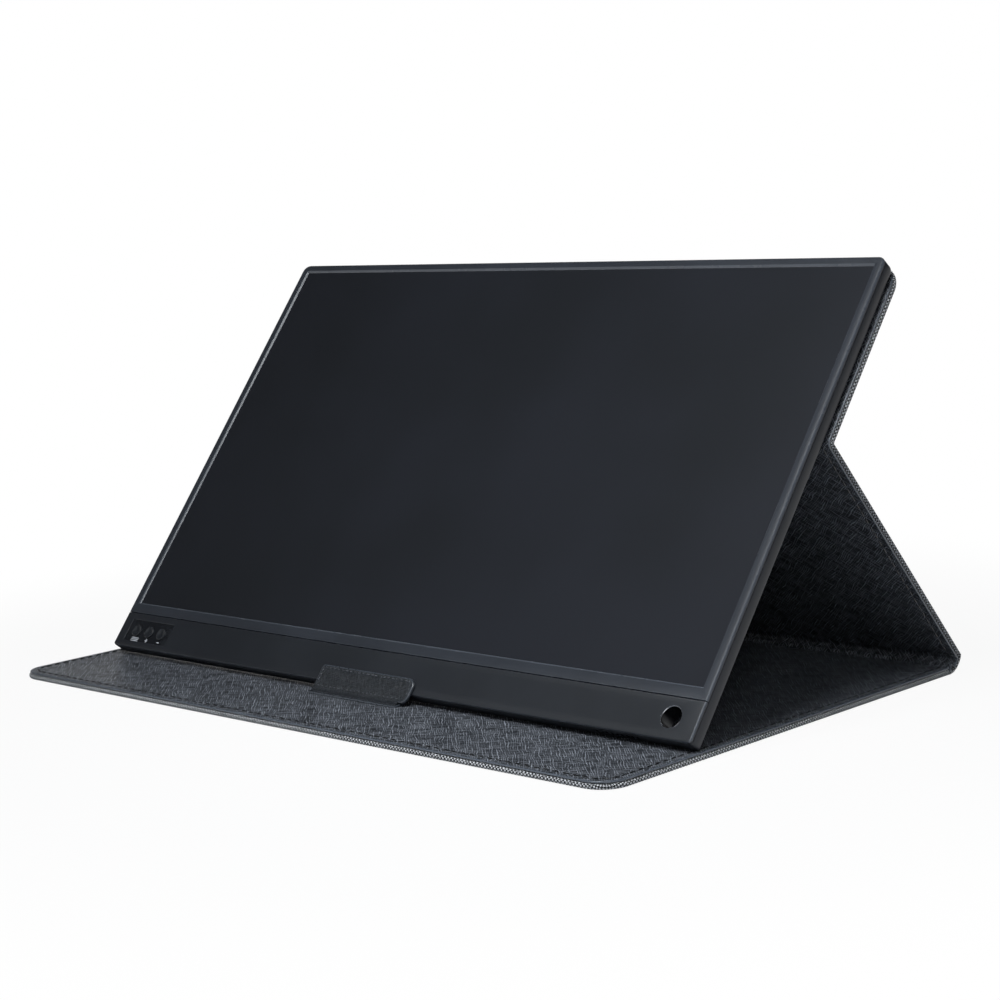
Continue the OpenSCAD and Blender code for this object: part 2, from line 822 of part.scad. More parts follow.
// Leaf that stands against the chin and stops the monitor sliding forwards
module tab_leaf() {
    color("#3a3e47") in_leaf() difference() {
        union() {
            plate(tab_w, 0, leaf_h, -leaf_t / 2, leaf_t, 0, leaf_corner_r);
            translate([-tab_w / 2, 0, 0]) rotate([0, 90, 0]) cylinder(d = leaf_t, h = tab_w);
        }
        leaf_core();
    }
}

// Stiff steel core sewn into the leaf
module tab_stiffener() {
    color("#9a9ca0") in_leaf() leaf_core();
}

module leaf_core() {
    slab(0, stiffener_rim, -stiffener_t / 2,
        [tab_w - 2 * stiffener_rim, leaf_h - 2 * stiffener_rim, stiffener_t]);
}

front_frame();
chin_strip();
rear_housing();
stand_hole_sleeve();
key_plate();
menu_key();
plus_key();
minus_key();
screen_glass();
light_guide();
light_strip();
screen_tray();
main_board();
driver_board();
key_board();
key_switches();
ribbon_cable();
speaker_left();
speaker_right();
usb_socket_lower();
usb_socket_upper();
video_socket();
sound_socket();
housing_screws();
back_plate();
base_fabric();
base_board();
base_liner();
base_magnets();
spine_fabric();
spine_liner();
leg_fabric();
leg_board();
leg_liner();
crease_strip();
upper_fabric();
upper_board();
upper_liner();
upper_magnets();
tab_flange();
tab_leaf();
tab_stiffener();
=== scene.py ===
"""Portable monitor standing in its folding cover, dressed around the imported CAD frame.

Every piece is drawn in millimetres in a frame of its own (table, display, leg, upper panel or
tab) and placed by that frame's matrix, which also turns millimetres into metres.
"""

import json
from math import cos, exp, hypot, pi, radians, sin

import bmesh
import bpy
from mathutils import Matrix, Vector


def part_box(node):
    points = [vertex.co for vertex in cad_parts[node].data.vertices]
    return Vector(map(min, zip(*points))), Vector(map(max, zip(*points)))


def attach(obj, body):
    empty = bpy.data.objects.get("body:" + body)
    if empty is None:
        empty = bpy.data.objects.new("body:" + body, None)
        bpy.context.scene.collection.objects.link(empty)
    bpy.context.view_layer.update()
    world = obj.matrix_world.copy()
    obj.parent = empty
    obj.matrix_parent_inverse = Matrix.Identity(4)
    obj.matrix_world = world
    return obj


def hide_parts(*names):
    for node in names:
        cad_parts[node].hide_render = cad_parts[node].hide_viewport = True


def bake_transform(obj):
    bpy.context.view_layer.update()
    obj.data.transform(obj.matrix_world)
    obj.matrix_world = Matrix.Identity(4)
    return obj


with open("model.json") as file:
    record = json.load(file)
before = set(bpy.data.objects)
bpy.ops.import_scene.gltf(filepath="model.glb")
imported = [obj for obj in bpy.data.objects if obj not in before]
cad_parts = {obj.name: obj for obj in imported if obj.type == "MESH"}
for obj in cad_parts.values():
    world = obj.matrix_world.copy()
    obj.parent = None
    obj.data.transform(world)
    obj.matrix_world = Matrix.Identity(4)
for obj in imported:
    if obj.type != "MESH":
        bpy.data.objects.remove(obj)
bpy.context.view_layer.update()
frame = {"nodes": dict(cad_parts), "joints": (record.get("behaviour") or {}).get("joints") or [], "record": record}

# ---- Studio ---------------------------------------------------------------------------------
# A pale paper sweep, seen through a long lens from a little above the table, off the right front
# corner of the object. A softbox hangs above the monitor, with weaker ones at front left and right.

lens_mm = 80.373
camera_place = Vector((0.6974, -0.7085, 0.2170))
camera_yaw, camera_pitch, camera_roll = radians(43.634), radians(-7.897), radians(-2.667)

scene = bpy.context.scene
scene.view_settings.view_transform = "Standard"
camera = bpy.data.objects.new("camera", bpy.data.cameras.new("camera"))
camera.data.lens = lens_mm
camera.data.clip_end = 50
camera.matrix_world = (
    Matrix.Translation(camera_place)
    @ Matrix.Rotation(camera_yaw, 4, "Z")
    @ Matrix.Rotation(pi / 2 + camera_pitch, 4, "X")
    @ Matrix.Rotation(camera_roll, 4, "Z")
)
scene.collection.objects.link(camera)
scene.camera = camera


def softbox(name, place, target, width, height, watts, spread=180):
    """A rectangular area lamp that looks at a point, its beam spread over degrees."""
    lamp = bpy.data.objects.new(name, bpy.data.lights.new(name, "AREA"))
    lamp.data.shape = "RECTANGLE"
    lamp.data.size, lamp.data.size_y = width, height
    lamp.data.energy = watts
    lamp.data.color = (0.94, 0.98, 1.0)
    lamp.data.spread = radians(spread)
    look = Vector(target) - Vector(place)
    lamp.matrix_world = Matrix.Translation(place) @ look.to_track_quat("-Z", "Y").to_matrix().to_4x4()
    scene.collection.objects.link(lamp)


softbox("key", (0.15, -0.30, 0.64), (0.16, -0.06, 0.03), 0.32, 0.30, 1.36, spread=120)
softbox("front_left", (-0.42, -0.74, 0.56), (-0.05, -0.05, 0.05), 0.5, 0.5, 0.46)
softbox("right", (0.80, -0.55, 0.70), (0.17, -0.10, 0.0), 0.25, 0.30, 0.07, spread=40)


def node(tree, kind, inputs=None, **settings):
    """A shader node with its settings; an input given as a socket is linked, else it is set."""
    made = tree.nodes.new("ShaderNode" + kind)
    for name, value in settings.items():
        setattr(made, name, value)
    for name, value in (inputs or {}).items():
        if isinstance(value, bpy.types.NodeSocket):
            tree.links.new(value, made.inputs[name])
        else:
            made.inputs[name].default_value = value
    return made


def sums(tree, operation, *values, clamp=False):
    """One Math node over sockets or numbers."""
    return node(tree, "Math", dict(enumerate(values)), operation=operation, use_clamp=clamp).outputs[0]


def ramp(tree, value, low, high, to_low=0.0, to_high=1.0):
    """A value carried smoothly from one range to another."""
    inputs = {"Value": value, "From Min": low, "From Max": high, "To Min": to_low, "To Max": to_high}
    return node(tree, "MapRange", inputs, interpolation_type="SMOOTHSTEP").outputs[0]


def seen_directly(tree):
    """Mask of the rays that show the background: camera, glossy and transmission."""
    path = node(tree, "LightPath").outputs
    mirrored = sums(tree, "MAXIMUM", path["Is Glossy Ray"], path["Is Transmission Ray"])
    return sums(tree, "MAXIMUM", path["Is Camera Ray"], mirrored)


# What the camera sees is white round the horizon and falls to a dim ceiling; the object is lit by
# a soft grey sky.
sky_strength, ceiling, glow_from, glow_to = 0.07, 0.03, 0.10, 0.24
world = bpy.data.worlds.new("studio")
scene.world = world
world.use_nodes = True
sky = world.node_tree
sky.nodes.clear()
height = node(sky, "SeparateXYZ", {0: node(sky, "TexCoord").outputs["Generated"]}).outputs["Z"]
shining = ramp(sky, height, glow_from, glow_to, 1.0, ceiling)
backdrop = node(sky, "Background", {"Color": (1, 1, 1, 1), "Strength": shining})
ambient = node(sky, "Background", {"Color": (0.93, 0.96, 1, 1), "Strength": sky_strength})
shown = node(sky, "MixShader", {0: seen_directly(sky), 1: ambient.outputs[0], 2: backdrop.outputs[0]})
node(sky, "OutputWorld", {"Surface": shown.outputs[0]})

# The sweep is pure white away from the object and keeps a soft shadow near it.
floor_reach, white_from, white_to, shadow_lift = 4.0, 0.22, 0.45, 0.93
floor_mesh = bpy.data.meshes.new("sweep")
corners = [(x * floor_reach, y * floor_reach, -0.0002) for x, y in ((-1, -1), (1, -1), (1, 1), (-1, 1))]
floor_mesh.from_pydata(corners, [], [(0, 1, 2, 3)])
sweep = bpy.data.objects.new("sweep", floor_mesh)
scene.collection.objects.link(sweep)
paper = bpy.data.materials.new("paper")
paper.use_nodes = True
tree = paper.node_tree
tree.nodes.clear()
distance = node(tree, "VectorMath", {0: node(tree, "TexCoord").outputs["Object"]}, operation="LENGTH")
away = ramp(tree, distance.outputs["Value"], white_from, white_to, shadow_lift, 1.0)
lit = node(tree, "BsdfDiffuse", {"Color": (0.93, 0.935, 0.95, 1)}).outputs[0]
glow = node(tree, "Emission", {"Color": (1, 1, 1, 1)}).outputs[0]
seen = node(tree, "MixShader", {0: away, 1: lit, 2: glow}).outputs[0]
bounce = node(tree, "BsdfDiffuse", {"Color": (0.42, 0.43, 0.45, 1)}).outputs[0]
shown = node(tree, "MixShader", {0: seen_directly(tree), 1: bounce, 2: seen})
node(tree, "OutputMaterial", {"Surface": shown.outputs[0]})
floor_mesh.materials.append(paper)

# ---- Rear housing ---------------------------------------------------------------------------
# A deep injection-moulded tray in black ABS with a fine spark-eroded texture. Its rear edges are
# rounded, and an inset lip leaves a shadow groove under the front. Screws hold it to the frame.

MM = 0.001
monitor_w, monitor_h, monitor_t = 356.5, 223.5, 8.6
corner_r, foot_corner_r, back_edge_r, back_taper = 4.0, 1.8, 2.4, 4.0
strip_t, groove_h, groove_depth = 1.2, 0.4, 0.6
side_wall, rear_wall = 1.5, 1.2
strip_level = monitor_t - strip_t
stand_hole_x, stand_hole_rise, stand_hole_r, sleeve_wall = 165.0, 9.2, 4.6, 0.7
sleeve_r = stand_hole_r + sleeve_wall


def axes(origin, up, out):
    """Frame in millimetres: x across the object, y along up, z along out."""
    turn = Matrix((up.cross(out), up, out)).transposed().to_4x4()
    return Matrix.Translation(origin) @ turn @ Matrix.Scale(MM, 4)


stand_hole = next(m for m in frame["record"]["mounts"] if m["name"] == "stand_hole")
screen_out = Vector(stand_hole["axis"])
screen_up = Vector((0, screen_out.z, -screen_out.y))
display = axes(Vector(stand_hole["pos_m"]), screen_up, screen_out)
display @= Matrix.Translation((-stand_hole_x, -stand_hole_rise, -monitor_t / 2))


class Outline:
    """A rectangle with rounded corners, sampled alike at every inset.

    Corners and sides run anticlockwise from the lower right corner. A side in flush keeps its
    place at every inset, and a side in sewn is divided into stitches of four steps each.
    """

    SIDES = ("right", "top", "left", "bottom")

    def __init__(self, x0, x1, y0, y1, radii, flush=(), sewn=(), pitch=3.2, arc_steps=8):
        self.box, self.radii, self.flush = (x0, x1, y0, y1), radii, flush
        lengths = (y1 - y0, x1 - x0, y1 - y0, x1 - x0)
        self.side_steps, self.arc_steps = [], []
        for k, side in enumerate(self.SIDES):
            trimmed = lengths[k] - radii[k] - radii[(k + 1) % 4]
            self.side_steps.append(4 * round(trimmed / pitch) if side in sewn else 1)
            stitched_arc = side in sewn and self.SIDES[k - 1] in sewn
            stitches = max(1, round(pi / 2 * 0.75 * radii[k] / pitch))
            self.arc_steps.append(0 if not radii[k] else 4 * stitches if stitched_arc else arc_steps)
        self.stitch_starts = []
        at = 0
        for k, side in enumerate(self.SIDES):
            if side in sewn and self.SIDES[k - 1] in sewn:
                self.stitch_starts += range(at, at + self.arc_steps[k], 4)
            at += self.arc_steps[k]
            if side in sewn:
                self.stitch_starts += range(at, at + self.side_steps[k], 4)
            at += self.side_steps[k]

    def ring(self, inset, level, dimple=0.0):
        """The outline at an inset; dimple lowers it at the holes between stitches."""
        right, top, left, bottom = (0 if side in self.flush else inset for side in self.SIDES)
        x0, x1, y0, y1 = self.box
        x0, x1, y0, y1 = x0 + left, x1 - right, y0 + bottom, y1 - top
        arcs = []
        corners = [(x1, y0, 1, -1), (x1, y1, 1, 1), (x0, y1, -1, 1), (x0, y0, -1, -1)]
        for k, (x, y, sx, sy) in enumerate(corners):
            r = max(self.radii[k] - inset, 0.05) if self.radii[k] else 0
            turns = [pi / 2 * (k - 1 + i / max(self.arc_steps[k], 1)) for i in range(self.arc_steps[k] + 1)]
            arcs.append([Vector((x + r * (cos(a) - sx), y + r * (sin(a) - sy), level)) for a in turns]
                        if r else [Vector((x, y, level))])
        points = []
        for k, arc in enumerate(arcs):
            goal = arcs[(k + 1) % 4][0]
            steps = self.side_steps[k]
            points += arc + [arc[-1].lerp(goal, i / steps) for i in range(1, steps)]
        for i in self.stitch_starts if dimple else ():
            points[i].z -= dimple
        return points

    def rings(self, profile):
        """The rings of a profile of (inset, level) pairs."""
        return [self.ring(*step) for step in profile]


class Shape:
    """A mesh under construction, with the cloth map that unrolls it in millimetres."""

    def __init__(self):
        self.bm = bmesh.new()
        self.map = self.bm.loops.layers.uv.new("cloth")

    def loft(self, rings, maps=None, caps=True, wrap=False, finishes=None, bands=()):
        """Joins closed rings one to the next; wrap also joins the last one to the first.

        finishes gives the material between each ring and the next; bands are the steps along
        every ring that take the second material.
        """
        maps = maps or [[(p.x, p.y) for p in ring] for ring in rings]
        verts = [[self.bm.verts.new(p) for p in ring] for ring in rings]
        count = len(rings[0])

        def face(corners, finish):
            made = self.bm.faces.new([verts[i][j] for i, j in corners])
            made.material_index = finish
            for loop, (i, j) in zip(made.loops, corners):
                loop[self.map].uv = maps[i][j]

        for i in range(len(rings) if wrap else len(rings) - 1):
            k = (i + 1) % len(rings)
            for j in range(count):
                n = (j + 1) % count
                face([(i, j), (i, n), (k, n), (k, j)], finishes[i] if finishes else int(j in bands))
        if caps and not wrap:
            face([(0, j) for j in reversed(range(count))], 0)
            face([(len(rings) - 1, j) for j in range(count)], 0)
        return self

    def piece(self, name, place, *materials, sharp=40):
        """The finished object, smooth but for edges sharper than an angle in degrees."""
        bmesh.ops.recalc_face_normals(self.bm, faces=self.bm.faces)
        mesh = bpy.data.meshes.new(name)
        self.bm.to_mesh(mesh)
        self.bm.free()
        mesh.transform(place)
        mesh.shade_smooth()
        mesh.set_sharp_from_angle(angle=radians(sharp))
        for material in materials:
            mesh.materials.append(material)
        made = bpy.data.objects.new(name, mesh)
        scene.collection.objects.link(made)
        return made


def circle(x, y, r, level, steps=48):
    """A ring round a centre."""
    turns = (2 * pi * i / steps for i in range(steps))
    return [Vector((x + r * cos(a), y + r * sin(a), level)) for a in turns]


def lathe(x, y, profile, steps=48):
    """Rings of a turned part from (radius, level) pairs."""
    return [circle(x, y, r, level, steps) for r, level in profile]


def rounded(r, inset, level, steps=5):
    """Profile of an outer edge rounded by r, from the side up to the face at a level."""
    turns = (pi / 2 * i / steps for i in range(steps + 1))
    return [(inset + r * (1 - cos(a)), level - r * (1 - sin(a))) for a in turns]


def chamfered(size, level, softness=0.06):
    """Profile of an outer edge cut at 45 degrees, with its two arrises softened."""
    low = level - size
    return [(0.0, low - softness), (softness / 2, low + softness), (size - softness, level - softness / 2),
            (size + softness, level)]


def box(x0, x1, y0, y1, z0, z1, r=0.0):
    """Rings of a block, with its corners rounded in plan."""
    outline = Outline(x0, x1, y0, y1, (r,) * 4, arc_steps=6)
    return outline.rings([(0, z0), (0, z1)])


def cut(piece, tool_rings, place):
    """Cuts closed lofts out of a piece."""
    tool_shape = Shape()
    for rings in tool_rings:
        tool_shape.loft(rings)
    tool = tool_shape.piece("cutter", place)
    boolean = piece.modifiers.new("cut", "BOOLEAN")
    boolean.object, boolean.operation, boolean.solver = tool, "DIFFERENCE", "EXACT"
    bpy.context.view_layer.update()
    done = bpy.data.meshes.new_from_object(piece.evaluated_get(bpy.context.evaluated_depsgraph_get()))
    piece.modifiers.clear()
    piece.data = done
    done.set_sharp_from_angle(angle=radians(40))
    bpy.data.objects.remove(tool)


def group(name, inputs, outputs):
    """An empty node group: its tree, the sockets of its inputs, and its output node."""
    tree = bpy.data.node_groups.new(name, "ShaderNodeTree")
    for socket, default in inputs.items():
        made = tree.interface.new_socket(socket, in_out="INPUT", socket_type="NodeSocketFloat")
        made.default_value = default
    for socket in outputs:
        tree.interface.new_socket(socket, in_out="OUTPUT", socket_type="NodeSocketFloat")
    return tree, tree.nodes.new("NodeGroupInput").outputs, tree.nodes.new("NodeGroupOutput")


def effect(tree, name, **inputs):
    """Places a node group in a material; its outputs are what it works out."""
    return node(tree, "Group", inputs, node_tree=bpy.data.node_groups[name]).outputs


def in_millimetres(tree, scale=1.0):
    """The surface's own place in millimetres, times a scale."""
    place = node(tree, "TexCoord").outputs["Object"]
    return node(tree, "VectorMath", {0: place, "Scale": scale / MM}, operation="SCALE").outputs[0]


def noise(tree, place, scale, detail=2.0, roughness=0.5):
    """Noise from 0 to 1 at a number of cells per unit of place."""
    inputs = {"Vector": place, "Scale": scale, "Detail": detail, "Roughness": roughness}
    return node(tree, "TexNoise", inputs).outputs[0]


# Spark texture of a moulded surface, with the slow unevenness of its shrinkage.
tree, given, made = group("moulding", {"Grain": 0.35}, ("Height", "Shade"))
place = in_millimetres(tree)
cells = node(tree, "TexVoronoi", {"Vector": place, "Scale": sums(tree, "DIVIDE", 1, given["Grain"])})
fine = noise(tree, place, sums(tree, "DIVIDE", 0.6, given["Grain"]), 3)
tree.links.new(sums(tree, "MULTIPLY_ADD", cells.outputs["Distance"], 0.6, fine), made.inputs["Height"])
tree.links.new(ramp(tree, noise(tree, place, 0.03, 3), 0.3, 0.7), made.inputs["Shade"])

# Rub marks and painted highlights along edges: where a rounded normal leaves the true one, broken up by noise.
tree, given, made = group("edge_wear_and_highlight", {"Reach": 0.4}, ("Mask",))
reach = sums(tree, "MULTIPLY", given["Reach"], MM)
round_normal = node(tree, "Bevel", {"Radius": reach}, samples=4).outputs[0]
true_normal = node(tree, "NewGeometry").outputs["Normal"]
along = node(tree, "VectorMath", {0: round_normal, 1: true_normal}, operation="DOT_PRODUCT").outputs["Value"]
patchy = ramp(tree, noise(tree, in_millimetres(tree), 0.35, 4, 0.65), 0.35, 0.7, 0.25, 1.0)
worn_and_highlit_edge = sums(tree, "MULTIPLY", ramp(tree, along, 0.99, 0.8), patchy)
tree.links.new(worn_and_highlit_edge, made.inputs["Mask"])

# Hand grease and dust: slow smears that change the gloss a little.
tree, given, made = group("handling", {}, ("Mask",))
smear = noise(tree, in_millimetres(tree), 0.045, 5, 0.6)
tree.links.new(ramp(tree, smear, 0.35, 0.75), made.inputs["Mask"])


def finish(name, roughness, metallic=0.0, **shader_inputs):
    """A material whose Principled shader has its plain values set: material, tree, shader."""
    made = bpy.data.materials.new(name)
    made.use_nodes = True
    shader = made.node_tree.nodes["Principled BSDF"]
    shader.inputs["Roughness"].default_value = roughness
    shader.inputs["Metallic"].default_value = metallic
    for socket, value in shader_inputs.items():
        shader.inputs[socket.replace("_", " ")].default_value = value
    return made, made.node_tree, shader


def blend_colors(tree, factor, low, high):
    """A colour between two, by a mask."""
    return node(tree, "Mix", {0: factor, 6: low, 7: high}, data_type="RGBA").outputs[2]


def srgb(code):
    """A linear colour from a hex code as it is seen."""
    parts = (int(code[i:i + 2], 16) / 255 for i in (1, 3, 5))
    return (*(c / 12.92 if c <= 0.04045 else ((c + 0.055) / 1.055) ** 2.4 for c in parts), 1)


def color_with(tree, shader, mask, low, high):
    """Links the shader's colour to one between two, by a mask."""
    tree.links.new(blend_colors(tree, mask, low, high), shader.inputs["Base Color"])


def roughen(tree, shader, mask, low, high, from_low=0.2, from_high=0.8):
    """Links the shader's roughness to a mask carried from one range to another."""
    tree.links.new(ramp(tree, mask, from_low, from_high, low, high), shader.inputs["Roughness"])


def bump(tree, shader, height, distance_mm, strength=1.0):
    """Raises the shader's normal by a height map, distance_mm deep."""
    inputs = {"Height": height, "Distance": distance_mm * MM, "Strength": strength}
    tree.links.new(node(tree, "Bump", inputs).outputs[0], shader.inputs["Normal"])


def moulded_plastic(name, color, worn, roughness, grain=0.35, depth=0.012, specular=0.5):
    """Textured ABS: its colour drifts slowly, and its edges are paler and smoother, partly from rubbing and partly
    as a painted highlight.
    """
    made, tree, shader = finish(name, roughness, Specular_IOR_Level=specular)
    skin = effect(tree, "moulding", Grain=grain)
    wear_and_highlight = effect(tree, "edge_wear_and_highlight", Reach=0.35)["Mask"]
    smear = effect(tree, "handling")["Mask"]
    low, high = ([gain * c for c in color[:3]] + [1] for gain in (0.9, 1.1))
    body = blend_colors(tree, skin["Shade"], low, high)
    # The edges' paler colour is partly rubbing and partly a painted highlight.
    color_with(tree, shader, sums(tree, "MULTIPLY", wear_and_highlight, 0.6), body, worn)
    gloss = sums(tree, "MULTIPLY_ADD", smear, 0.07, roughness - 0.04)
    tree.links.new(sums(tree, "MULTIPLY_ADD", wear_and_highlight, -0.1, gloss), shader.inputs["Roughness"])
    bump(tree, shader, skin["Height"], depth)
    return made


housing_plastic = moulded_plastic("housing_plastic", srgb("#2f3238"), srgb("#6a6d75"), 0.42, specular=0.35)

half_w = monitor_w / 2


def shell_ring(inset, level, foot_inset=None):
    """A ring of the housing; its lower edge, which the monitor stands on, may be drawn in less."""
    foot = inset if foot_inset is None else foot_inset
    radii = [max(r - inset, 0.4) for r in (foot_corner_r, corner_r, corner_r, foot_corner_r)]
    outline = Outline(inset - half_w, half_w - inset, foot, monitor_h - inset, radii, arc_steps=10)
    return outline.ring(0, level)


shell_profile = [(side_wall + 0.6, rear_wall), (side_wall + 0.15, rear_wall + 0.15),
                 (side_wall, rear_wall + 0.6), (side_wall, strip_level),
                 (groove_depth, strip_level), (groove_depth, strip_level - groove_h + 0.06),
                 (0.08, strip_level - groove_h), (0.0, strip_level - groove_h - 0.1)]
shell_rings = [shell_ring(inset, level) for inset, level in shell_profile]
shell_rings += [shell_ring(inset * back_taper / back_edge_r, back_edge_r - level, inset)
                for inset, level in rounded(back_edge_r, 0, back_edge_r, 9)]
housing = Shape().loft(shell_rings).piece("housing_shell", display, housing_plastic)

screw_xs, screw_rise, screw_head_r = (-98, -33, 33, 98), 5.4, 1.7
sound_rise, picture_rise, power_rises = 52, 70, (89, 108)
socket_level, sound_r, picture_size, power_size = 2.8, 2.3, 11.2, 9.0
socket_t = 3.2
outside, inside = -half_w - 1, -half_w + side_wall + 0.05
windows = [box(outside, inside, rise - size / 2, rise + size / 2, socket_level - socket_t / 2,
               socket_level + socket_t / 2)
           for rise, size in [(picture_rise, picture_size)] + [(rise, power_size) for rise in power_rises]]
groove_end = -half_w + side_wall + 12.2
sound_turns = [2 * pi * i / 32 for i in range(32)]
sound_way = [[Vector((x, sound_rise + sound_r * cos(a), socket_level + sound_r * sin(a)))
              for a in sound_turns] for x in (outside, groove_end)]
screw_bore_r = screw_head_r + 0.1
screw_bore = [(screw_bore_r, -1), (screw_bore_r, 0.7), (0.9, 0.7), (0.9, 2)]
screw_ways = [lathe(x, screw_rise, screw_bore, 24) for x in screw_xs]
hole_way = lathe(stand_hole_x, stand_hole_rise, [(sleeve_r, -1), (sleeve_r, 2)])
# Slots in the lower edge that let the two speakers sound towards the base panel.
speaker_xs, slot_pitch, slot_count, slot_half_w = (-118.45, 139.7), 2.6, 9, 0.55
slot_xs = [x + (i - (slot_count - 1) / 2) * slot_pitch for x in speaker_xs for i in range(slot_count)]
slots = [box(x - slot_half_w, x + slot_half_w, -1, side_wall + 0.1, 3.2, 5.4) for x in slot_xs]
cut(housing, windows + [sound_way] + screw_ways + [hole_way] + slots, display)
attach(housing, "display")
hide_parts("rear_housing")

# ---- Front frame ----------------------------------------------------------------------------
# The moulded bezel round the screen. Its outer edge is lightly chamfered, its lip slopes down to
# the glass, and its lower part lies under the chin strip as a bed inside the housing.

strip_top, chin_h, bezel_side, bezel_top = 18.0, 23.6, 4.75, 4.5
front_t, frame_inset, screen_recess, front_chamfer = 2.2, 1.6, 0.9, 0.8
lip_slope, seam_chamfer = 0.9, 0.12

frame_plastic = moulded_plastic("frame_plastic", srgb("#3d4149"), srgb("#8b8f99"), 0.40)
# The outer chamfers and the sloping lip of the opening are coloured paler than the frame: a painted highlight line
# along those edges.
chamfer_highlight_plastic = moulded_plastic("chamfer_highlight_plastic", srgb("#5b6069"), srgb("#9a9ea8"), 0.28, depth=0.004)


def seam_cut(level):
    """How far the chamfer along the seam draws an edge back at a level."""
    return max(0.0, seam_chamfer - (monitor_t - level))


def bezel_ring(inset, seam_inset, level):
    """A ring of the rim: moved in from its outer edge, and up from the seam with the strip."""
    outer = Outline(-half_w, half_w, strip_top, monitor_h, (0, corner_r, corner_r, 0),
                    flush=("bottom",), arc_steps=10)
    points = outer.ring(inset, level)
    for p in points:
        p.y = max(p.y, strip_top + seam_inset)
    return points


def opening_ring(spread, level):
    """A ring of the screen opening, spread outwards, with as many points as the rim."""
    half_o = half_w - bezel_side + spread
    hole = Outline(-half_o, half_o, chin_h - spread, monitor_h - bezel_top + spread, (0, 0.3, 0.3, 0),
                   arc_steps=10)
    return hole.ring(0, level)


back_level = monitor_t - front_t
rim = [bezel_ring(0, 0, strip_level)]
rim += [bezel_ring(inset, seam_cut(level), level) for inset, level in chamfered(front_chamfer, monitor_t)]
glass_level, seat_w = monitor_t - screen_recess, 1.3
lip_profile = [(lip_slope, monitor_t), (lip_slope - 0.06, monitor_t - 0.02), (0.05, glass_level + 0.06),
               (0, glass_level), (seat_w, glass_level), (seat_w, back_level)]
bezel_rings = rim + [opening_ring(spread, level) for spread, level in lip_profile]
cut_faces = (2, len(rim) + 1)
bezel_finishes = [int(i in cut_faces) for i in range(len(bezel_rings))]
bezel = Shape().loft(bezel_rings, wrap=True, finishes=bezel_finishes)
bed = Outline(-half_w + frame_inset, half_w - frame_inset, frame_inset, chin_h - 2.0, (2.9, 0, 0, 2.9))
bezel.loft(bed.rings([(0, back_level), (0, strip_level - 0.01)]))
bezel = bezel.piece("bezel_moulding", display, frame_plastic, chamfer_highlight_plastic)

key_plate_x, key_plate_rise, key_plate_w, key_plate_h = -156.25, 3.2, 31.6, 11.3
key_r, key_pitch, key_flange_r = 3.0, 9.2, 3.7
well_r, sleeve_bore_r = key_flange_r + 0.2, sleeve_r + 0.01
key_rise = key_plate_rise + key_plate_h / 2
key_xs = [key_plate_x + i * key_pitch for i in (-1, 0, 1)]
wells = [lathe(x, key_rise, [(well_r, 4), (well_r, 9)]) for x in key_xs]
hole_way = lathe(stand_hole_x, stand_hole_rise, [(sleeve_bore_r, 4), (sleeve_bore_r, 9)])
cut(bezel, wells + [hole_way], display)
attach(bezel, "display")
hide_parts("front_frame")

# ---- Chin strip -----------------------------------------------------------------------------
# A separate trim strip across the full width below the seam, a shade darker than the frame.
# It carries a window for the key plate and the hole of the stand.

chin_plastic = moulded_plastic("chin_plastic", srgb("#2d3036"), srgb("#868a94"), 0.40)
seam_gap, foot_chamfer = 0.32, 0.35


def chin_ring(inset, level, top_inset):
    """A ring of the strip: chamfered like the frame at its ends, less so below and at the seam."""
    corner = max(foot_corner_r - inset, 0.4)
    strip = Outline(inset - half_w, half_w - inset, inset * foot_chamfer, strip_top - seam_gap - top_inset,
                    (corner, 0, 0, corner), arc_steps=10)
    return strip.ring(0, level)


chin_rings = [chin_ring(0, strip_level, 0)]
chin_rings += [chin_ring(inset, level, seam_cut(level))
               for inset, level in chamfered(front_chamfer, monitor_t)]
# The strip's chamfer takes the same paler colour, a painted highlight line.
chin = Shape().loft(chin_rings, finishes=[0, 0, 1, 0, 0])
chin = chin.piece("chin_trim", display, chin_plastic, chamfer_highlight_plastic)
key_window = Outline(key_plate_x - key_plate_w / 2, key_plate_x + key_plate_w / 2, key_plate_rise,
                     key_plate_rise + key_plate_h, (0.5,) * 4, arc_steps=5)
window_profile = [(0, strip_level - 1), (0, monitor_t - 0.1), (-0.1, monitor_t), (-0.1, monitor_t + 1)]
sleeve_seat, mouth_r = monitor_t - 0.35, stand_hole_r + 0.3
mouth_profile = [(sleeve_bore_r, 5), (sleeve_bore_r, sleeve_seat), (mouth_r, sleeve_seat + 0.01),
                 (mouth_r, 10)]
hole_way = lathe(stand_hole_x, stand_hole_rise, mouth_profile)
cut(chin, [key_window.rings(window_profile), hole_way], display)
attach(chin, "display")
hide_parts("chin_strip")

# ---- Sleeve of the stand hole -----------------------------------------------------------------
# A turned aluminium sleeve, dark anodised, pressed into the chin from behind for a pen or rod that
# props the monitor up without its cover. Its polished lip rings the mouth.

sleeve_metal, tree, shader = finish("sleeve_metal", 0.35, 0.7)
mottle = noise(tree, in_millimetres(tree), 2.5, 4)
tone = blend_colors(tree, mottle, srgb("#141518"), srgb("#202226"))
color_with(tree, shader, effect(tree, "edge_wear_and_highlight", Reach=0.2)["Mask"], tone, srgb("#5c5f66"))
roughen(tree, shader, mottle, 0.24, 0.4)
bump(tree, shader, mottle, 0.01)

polished_lip, tree, shader = finish("polished_lip", 0.22, 1.0)
turned = noise(tree, in_millimetres(tree), 4.0, 3)
color_with(tree, shader, turned, srgb("#b4b8c0"), srgb("#dcdfe4"))
bump(tree, shader, turned, 0.01)

